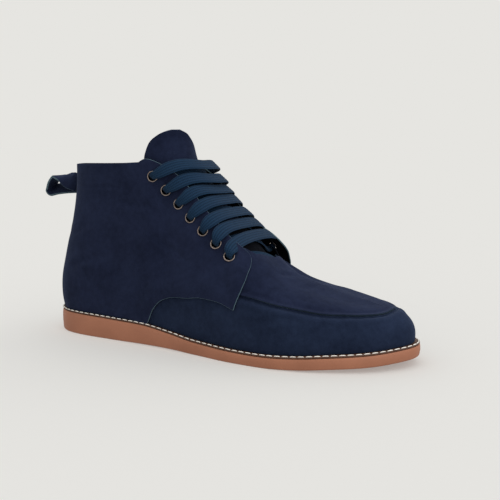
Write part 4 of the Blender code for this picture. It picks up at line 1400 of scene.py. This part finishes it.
# %% Lace route
TAIL = (0.09, 0.90)         # rise and share across where the lace starts
UNDER_STEPS = 10
INSIDE_REACH = 0.0041
OUTSIDE_REACH = 0.0036
EYELET_DEPTHS = (-INSIDE_REACH, -INSIDE_REACH * 0.4, OUTSIDE_REACH * 0.4)
BAR_STEPS = 12
BAR_REACH = 0.0024
BAR_LEAD = 0.07
BAR_TILT = 0.05             # each bar lies a little differently, as laces do
LEAN_POWER = 1.4            # above 1 the lean keeps to the middle of the outer half
OPEN_AT_ONCE, OPEN_PER_STEP = 0.62, 0.34


def add_bar(number):
    """Square-shouldered half ellipse from the lateral eyelet of a pair to the medial one."""
    start, start_out = seats[LATERAL, number]
    end, end_out = seats[MEDIAL, number]
    start = start + start_out * BAR_REACH
    end = end + end_out * BAR_REACH
    middle = (start + end) / 2.0
    crest = Vector((BARS[number].forward, 0.0, BARS[number].rise))
    for k in range(BAR_STEPS - 1):
        turn = math.pi * (BAR_LEAD + (1.0 - 2.0 * BAR_LEAD) * k / (BAR_STEPS - 2))
        tilt = BAR_TILT * math.sin(2.4 * number + 1.3 * k / BAR_STEPS)
        side = UP_THE_THROAT + Vector((tilt * 0.62, 0.0, tilt * 0.78))
        shoulder = BARS[number].shoulder if math.cos(turn) > 0.0 else MEDIAL_SHOULDER
        across = math.copysign(abs(math.cos(turn)) ** shoulder, math.cos(turn))
        lean = UP_THE_THROAT * BARS[number].lean * max(0.0, math.sin(2.0 * turn)) ** LEAN_POWER
        place = middle + (start - middle) * across + crest * math.sin(turn) ** shoulder + lean
        from_end = min(k, BAR_STEPS - 2 - k)
        add_to_route(place, opened(from_end, OPEN_AT_ONCE, OPEN_PER_STEP), side)


def through_eyelet(side, number, depths):
    """The lace passes an eyelet along its axis, pinched."""
    place, axis = seats[side, number]
    for depth in depths:
        add_to_route(place + axis * depth, 0.0)


first_eyelet = nearest_on_tongue(seats[LATERAL, EYELETS - 1][0])
for k in range(UNDER_STEPS):
    lie_on_tongue(k / UNDER_STEPS, TAIL, first_eyelet, UNDER_STEPS - k)
for number in reversed(range(EYELETS)):
    through_eyelet(LATERAL, number, EYELET_DEPTHS)
    add_bar(number)
    through_eyelet(MEDIAL, number, reversed(EYELET_DEPTHS))
    if number:
        leave = nearest_on_tongue(seats[MEDIAL, number][0])
        reach = nearest_on_tongue(seats[LATERAL, number - 1][0])
        for k in range(1, UNDER_STEPS):
            lie_on_tongue(k / UNDER_STEPS, leave, reach, min(k, UNDER_STEPS - k))
route = np.array(route)
print("route:", len(route), "places")

# %% [markdown]
# A smooth curve goes through the places of the route, and is then measured out in even steps, one
# for each ring of the ribbon.

# %% Even steps
LACE_STEP = 0.001


def resample(rows, spacing):
    """Smooth curve through rows whose first three columns are a place, at even spacing."""
    gone = np.concatenate([[0.0], np.cumsum(np.linalg.norm(np.diff(rows[:, :3], axis=0), axis=1))])
    steps = np.diff(gone)[:, None]
    rates = np.diff(rows, axis=0) / steps
    between = (rates[:-1] * steps[1:] + rates[1:] * steps[:-1]) / (steps[1:] + steps[:-1])
    slopes = np.vstack([rates[:1], between, rates[-1:]])
    spots = np.linspace(0.0, gone[-1], int(gone[-1] / spacing))
    at = np.clip(np.searchsorted(gone, spots) - 1, 0, len(steps) - 1)
    h = steps[at]
    t = ((spots - gone[at])[:, None]) / h
    return (rows[at] * (1.0 + 2.0 * t) * (1.0 - t) ** 2 + rows[at + 1] * t * t * (3.0 - 2.0 * t)
            + slopes[at] * h * t * (1.0 - t) ** 2 - slopes[at + 1] * h * t * t * (1.0 - t))


ribbon = resample(route, LACE_STEP)
lace_length = np.linalg.norm(np.diff(ribbon[:, :3], axis=0), axis=1).sum()
print("lace on the boot:", round(float(lace_length), 2), "m")

# %% [markdown]
# The ribbon's cross-section is flat with round edges and five soft ribs. Rings of it follow the
# route, each turned so that its width keeps to the side it should lie on. A map of places across and
# along the ribbon goes with it, for the weave.

# %% Lace ribbon
RIBS = 5
RIB_HOLLOW = 0.38           # the hollows between the ribs take this share of the thickness
HALF_RING = 26
lace_u = np.sin(np.linspace(-0.5, 0.5, HALF_RING) * math.pi)
lace_round = np.sqrt(np.clip(1.0 - np.abs(lace_u) ** 5, 0.0, 1.0))
lace_ribbed = (1.0 - RIB_HOLLOW) + RIB_HOLLOW * np.abs(np.cos(lace_u * RIBS * math.pi / 2.0)) ** 0.7
lace_half = lace_round * lace_ribbed
outline_u = np.concatenate([lace_u, lace_u[::-1][1:-1]])
outline_v = np.concatenate([lace_half, -lace_half[::-1][1:-1]])
_, ribbon_across, ribbon_face = frames_along(ribbon[:, :3], ribbon[:, 3:6])
lace_rings = (ribbon[:, None, :3]
              + ribbon_across[:, None, :] * (outline_u[None, :, None] * ribbon[:, None, 6:7] / 2.0)
              + ribbon_face[:, None, :] * (outline_v[None, :, None] * ribbon[:, None, 7:8] / 2.0))
lace_mesh = mesh_from_rings("lace_ribbon", lace_rings)
lace_around = len(outline_u)
weave_map = lace_mesh.uv_layers.new(name="weave")
corner_points = np.empty(len(lace_mesh.loops), dtype=int)
lace_mesh.loops.foreach_get("vertex_index", corner_points)
across_and_along = [outline_u[corner_points % lace_around], (corner_points // lace_around) * 1.0]
weave = np.stack(across_and_along, axis=1)
weave_map.data.foreach_set("uv", weave.astype(np.float32).ravel())
outward_faces(lace_mesh)
print("ribbon:", len(lace_rings), "rings of", lace_around, "points")

# %% [markdown]
# The weave is drawn by arithmetic on that map: the ribs repeat across it, and a wave that runs aslant
# over each rib gives the strands of a herringbone. Fine noise adds the fuzz. The colour is darker
# where ribs and strands sink, as painted shade in the weave's hollows.

# %% Weave
RIB_SLANT, STRANDS_PER_RING = 5.0, 5.2
braid, braid_shader, braid_tree = new_look("lace_braid", 0.9, 0.08)


def maths(tree, operation, first, second=None):
    """Arithmetic node; each value is a number or a socket."""
    made = tree.nodes.new("ShaderNodeMath")
    made.operation = operation
    for socket, value in zip(made.inputs, (first, second)):
        if isinstance(value, (int, float)):
            socket.default_value = value
        elif value is not None:
            tree.links.new(value, socket)
    return made.outputs[0]


uv_node = braid_tree.nodes.new("ShaderNodeUVMap")
uv_node.uv_map = "weave"
parts_of_uv = braid_tree.nodes.new("ShaderNodeSeparateXYZ")
braid_tree.links.new(uv_node.outputs["UV"], parts_of_uv.inputs[0])
rib_count = maths(braid_tree, "MULTIPLY", parts_of_uv.outputs[0], RIBS / 2.0)
rib_place = maths(braid_tree, "PINGPONG", rib_count, 0.5)
slant = maths(braid_tree, "ADD", maths(braid_tree, "MULTIPLY", rib_place, RIB_SLANT),
              maths(braid_tree, "MULTIPLY", parts_of_uv.outputs[1], STRANDS_PER_RING))
strands = maths(braid_tree, "SINE", slant)
fuzz = noise_at(braid_tree, 1500.0, 2.0, 0.7)
weave_height = sum_of(braid_tree, [(strands, 0.35), (rib_place, 1.8), (fuzz, 0.5)])
bump(braid_tree, braid_shader, weave_height, 0.6, 0.0003)
# the colour follows the height of ribs and strands, as painted shade in the weave's hollows, with the
# fuzz's own random tone
lace_fuzz_and_hollow_shade = sum_of(braid_tree, [(strands, 0.06), (rib_place, 1.0), (fuzz, 0.6)])
lace_share_with_hollow_shade = spread(braid_tree, lace_fuzz_and_hollow_shade, 0.25, 0.75)
lace_blue_shaded_in_hollows = blend_colours(braid_tree, lace_share_with_hollow_shade, (0.0032, 0.0112, 0.0255), (0.0078, 0.0260, 0.0580))
braid_tree.links.new(lace_blue_shaded_in_hollows, braid_shader.inputs["Base Color"])
braid_shader.inputs["Sheen Weight"].default_value = 0.03
finish_mesh("lace_ribbon", lace_mesh, [braid], ["lace"])

# %% [markdown]
# A wedge sole of this kind is moulded from gum rubber in one piece. The rubber is an even brown with
# faint clouds in it and a fine grain.

# %% Gum rubber
rubber, rubber_shader, rubber_tree = new_look("gum_rubber", 0.62, 0.35)
grain = noise_at(rubber_tree, 1300.0, 3.0, 0.6)
cloud = noise_at(rubber_tree, 30.0, 2.0, 0.5)
rubber_tone = spread(rubber_tree, sum_of(rubber_tree, [(cloud, 0.7), (grain, 0.3)]), 0.35, 0.65)
rubber_brown = blend_colours(rubber_tree, rubber_tone, (0.282, 0.111, 0.061), (0.340, 0.137, 0.077))
rubber_tree.links.new(rubber_brown, rubber_shader.inputs["Base Color"])
bump(rubber_tree, rubber_shader, grain, 0.25, 0.0002)
print("finish:", rubber.name)

# %% [markdown]
# The sole's side is plain and swells a little, with a soft lower edge. It is made of rings inside the
# outline, each at its own height.

# %% Sole side
SOLE_STEPS = 220
BOTTOM_EDGE = 0.0014
SIDE_SWELL = 0.0004
sole_rim = [(i / SOLE_STEPS, LATERAL) for i in range(SOLE_STEPS)]
sole_rim += [(i / SOLE_STEPS, MEDIAL) for i in range(SOLE_STEPS, 0, -1)]
rim_points = np.array([tuple(outline_point(key, side)) for key, side in sole_rim])
rim_out = np.array([tuple(outward(key, side)) for key, side in sole_rim])


def rim_ring(inset, height):
    """Ring inside the sole's outline, at the height given for each x."""
    inset = np.broadcast_to(inset, len(rim_points))
    ring = rim_points - rim_out * inset[:, None]
    ring[:, 2] = [height(x) for x in ring[:, 0]]
    return ring


def share_up(share):
    """Height this share of the way from the sole's bottom to its top."""
    return lambda x: sole_bottom(x) + share * (sole_top(x) - sole_bottom(x))


side_levels = [(BOTTOM_EDGE + SIDE_SWELL, sole_bottom)]
for turn in np.linspace(0.2, 1.0, 4) * math.pi / 2.0:
    low = BOTTOM_EDGE * (1.0 - math.cos(turn))
    inset = SIDE_SWELL + BOTTOM_EDGE * (1.0 - math.sin(turn))
    side_levels.append((inset, lambda x, low=low: sole_bottom(x) + low))
for share, inset in ((0.45, 0.1), (0.6, 0.0), (0.8, 0.3), (0.93, 0.8), (1.0, 1.6)):
    side_levels.append((SIDE_SWELL * inset, share_up(share)))
sole_rings = [rim_ring(*level) for level in side_levels]
bottom_ring = sole_rings[0]
rim_count = len(bottom_ring)
print("sole side:", len(sole_rings), "rings of", rim_count, "points")

# %% [markdown]
# Underneath, the sole has a shallow wavy tread. It is cut into the bottom and stops short of the edge,
# so a plain rim is left all round and the boot still stands at its true height.

# %% Tread
TREAD_COLUMNS = 40
TREAD_DEPTH = 0.0009
TREAD_PITCH = 0.0075
TREAD_WAVE = 0.0022         # how far the grooves swing
TREAD_FROM_X, TREAD_TO_X = -0.025, 0.252
tread_rows = []
for i in range(1, SOLE_STEPS):
    lateral_point, medial_point = bottom_ring[i], bottom_ring[2 * SOLE_STEPS - i]
    shares = np.linspace(0.0, 1.0, TREAD_COLUMNS + 1)[:, None]
    row = lateral_point + (medial_point - lateral_point) * shares
    half = np.linalg.norm(medial_point - lateral_point) / 2.0
    inside = ease(half * (1.0 - np.abs(2.0 * shares[:, 0] - 1.0)), 0.004, 0.006)
    inside *= ease(row[:, 0], TREAD_FROM_X - 0.004, TREAD_FROM_X)
    inside *= 1.0 - ease(row[:, 0], TREAD_TO_X, TREAD_TO_X + 0.005)
    swing = TREAD_WAVE * np.sin(row[:, 1] * 420.0)
    wave = np.sin(2.0 * math.pi * (row[:, 0] + swing) / TREAD_PITCH)
    row[:, 2] = [sole_bottom(x) for x in row[:, 0]] + TREAD_DEPTH * inside * ease(wave, 0.1, 0.55)
    tread_rows.append(row)
print("tread:", round(1000.0 * TREAD_DEPTH, 1), "mm deep, every", round(1000.0 * TREAD_PITCH, 1), "mm")

# %% [markdown]
# The side rings, the flat top and the tread become one closed mesh. At the heel and the toe a single
# face joins the tread's first and last rows to the rim.

# %% Sole
SOLE_JOIN = 1e-6            # points closer than this are the same point
SOLE_SHARP = math.radians(45)
sole_points = [tuple(p) for ring in sole_rings for p in ring]
sole_faces = ring_faces(len(sole_rings), rim_count)
top_start = (len(sole_rings) - 1) * rim_count
sole_faces.append(tuple(top_start + i for i in range(rim_count)))
tread_start = len(sole_points)
for row in tread_rows:
    sole_points += [tuple(p) for p in row]
for i in range(len(tread_rows) - 1):
    for j in range(TREAD_COLUMNS):
        at = tread_start + i * (TREAD_COLUMNS + 1) + j
        sole_faces.append((at, at + 1, at + TREAD_COLUMNS + 2, at + TREAD_COLUMNS + 1))
for end, row in ((0, 0), (SOLE_STEPS, len(tread_rows) - 1)):
    first = tread_start + row * (TREAD_COLUMNS + 1)
    sole_faces.append((end,) + tuple(first + j for j in range(TREAD_COLUMNS + 1)))
sole_mesh = bpy.data.meshes.new("wedge_sole")
sole_mesh.from_pydata(sole_points, [], sole_faces)
outward_faces(sole_mesh, join_reach=SOLE_JOIN)
finish_mesh("wedge_sole", sole_mesh, [rubber], ["outsole"], SOLE_SHARP)

# %% [markdown]
# The welt is a leather strip between upper and sole. Its top shows as a narrow ledge all round, with
# a shallow channel for the seam that holds upper, welt and sole together, and the whole strip is dark
# brown.

# %% Welt
welt_look, _ = mottled("welt_leather", 0.6, 0.3, 500.0, 3.0, 0.15, (0.060, 0.026, 0.016),
                       (0.105, 0.050, 0.030))

WELT_INNER = 0.013
WELT_ROUND = 0.0006
WELT_SHARP = math.radians(40)
SEAM_SHARE = 0.22           # the seam lies this share of the ledge in from its edge
ledges = np.array([wall_value("ledge", key) * BALL_WIDTH for key, _ in sole_rim])
stitch_insets = SIDE_SWELL + SEAM_SHARE * (ledges - SIDE_SWELL)
CHANNEL = 0.0004
welt_levels = [(WELT_INNER, GAP), (SIDE_SWELL + WELT_ROUND, GAP)]
for turn in np.linspace(0.0, math.pi, 7):
    middle = GAP + WELT_THICKNESS / 2.0
    welt_levels.append((SIDE_SWELL + WELT_ROUND * (1.0 - math.sin(turn)),
                        middle - math.cos(turn) * WELT_THICKNESS / 2.0))
for offset, depth in ((-0.6, 0.0), (-0.3, CHANNEL), (0.3, CHANNEL), (0.6, 0.0)):
    welt_levels.append((stitch_insets + offset / 1000.0, WELT_TOP - depth))
welt_levels.append((WELT_INNER, WELT_TOP))
welt_rings = [rim_ring(inset, lambda x, lift=lift: sole_top(x) + lift) for inset, lift in welt_levels]
welt_rings.append(welt_rings[0])
welt_mesh = bpy.data.meshes.new("welt_strip")
welt_points = [tuple(p) for ring in welt_rings for p in ring]
welt_mesh.from_pydata(welt_points, [], ring_faces(len(welt_rings), rim_count))
outward_faces(welt_mesh, join_reach=SOLE_JOIN)
finish_mesh("welt_strip", welt_mesh, [welt_look], ["welt"], WELT_SHARP)

# %% [markdown]
# Thick waxed thread runs round the welt. Each stitch is a short fat capsule that dips into the
# leather at both ends, and all of them are made by walking along the seam in equal steps.

# %% Welt stitches
thread_look, _ = mottled("waxed_thread", 0.6, 0.3, 1200.0, 2.0, 0.20, (0.62, 0.58, 0.52),
                         (0.82, 0.80, 0.75))
BURY = 0.25                 # the ends dip this share of the thread's radius below the leather
STITCH_AROUND, STITCH_ALONG = 8, 9


def stitches(name, path, pitch, length, radius):
    """Mesh of capsules laid end to end along a path of closely set points, and their count."""
    around, along = STITCH_AROUND, STITCH_ALONG
    gone = np.concatenate([[0.0], np.cumsum(np.linalg.norm(np.diff(path, axis=0), axis=1))])
    count = int(round(gone[-1] / pitch))
    points, faces = [], []
    for k in range(count):
        start = gone[-1] * k / count
        spots = start + length * (0.5 - 0.5 * np.cos(np.linspace(0.0, math.pi, along)))
        middles = np.stack([np.interp(spots, gone, path[:, axis]) for axis in range(3)], axis=1)
        runs = np.gradient(middles, axis=0)
        runs /= np.linalg.norm(runs, axis=1)[:, None]
        side = np.cross(runs, (0.0, 0.0, 1.0))
        side /= np.linalg.norm(side, axis=1)[:, None]
        up = np.cross(side, runs)
        shape = np.sin(np.linspace(0.0, math.pi, along)) ** 0.5
        base = len(points)
        for ring in range(along):
            swell = radius * max(shape[ring], 0.05)
            lift = radius * (shape[ring] - 1.0) * (1.0 + BURY)
            for turn in np.arange(around) * 2.0 * math.pi / around:
                points.append(tuple(middles[ring] + up[ring] * (lift + swell * math.sin(turn))
                                    + side[ring] * swell * math.cos(turn)))
        for ring in range(along - 1):
            for j in range(around):
                a, b = base + ring * around + j, base + ring * around + (j + 1) % around
                faces.append((a, b, b + around, a + around))
        faces.append(tuple(base + j for j in range(around)))
        faces.append(tuple(base + (along - 1) * around + j for j in reversed(range(around))))
    mesh = bpy.data.meshes.new(name)
    mesh.from_pydata(points, [], faces)
    outward_faces(mesh)
    return mesh, count


STITCH_PITCH = 0.0055
STITCH_LENGTH = 0.0046
THREAD_RADIUS = 0.00045
THREAD_LIFT = 0.0001
seam_path = rim_ring(stitch_insets, lambda x: sole_top(x) + WELT_TOP + THREAD_LIFT)
seam_path = np.vstack([seam_path, seam_path[:1]])
thread_mesh, stitch_count = stitches("welt_stitches", seam_path, STITCH_PITCH, STITCH_LENGTH, THREAD_RADIUS)
finish_mesh("welt_stitches", thread_mesh, [thread_look], [])
print("stitches:", stitch_count)

# %% [markdown]
# The footbed is plain leather and hardly seen. The solid model's own plate has the right shape, so it
# stays and only gets a leather finish.

# %% Footbed
footbed_look, _ = mottled("footbed_leather", 0.65, 0.3, 300.0, 3.0, 0.15, (0.17, 0.10, 0.055),
                          (0.25, 0.15, 0.085))
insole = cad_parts["insole"]
for socket in insole.material_slots:
    socket.material = footbed_look
boot.objects.link(insole)
print("footbed:", len(insole.data.polygons), "faces of the frame's plate")
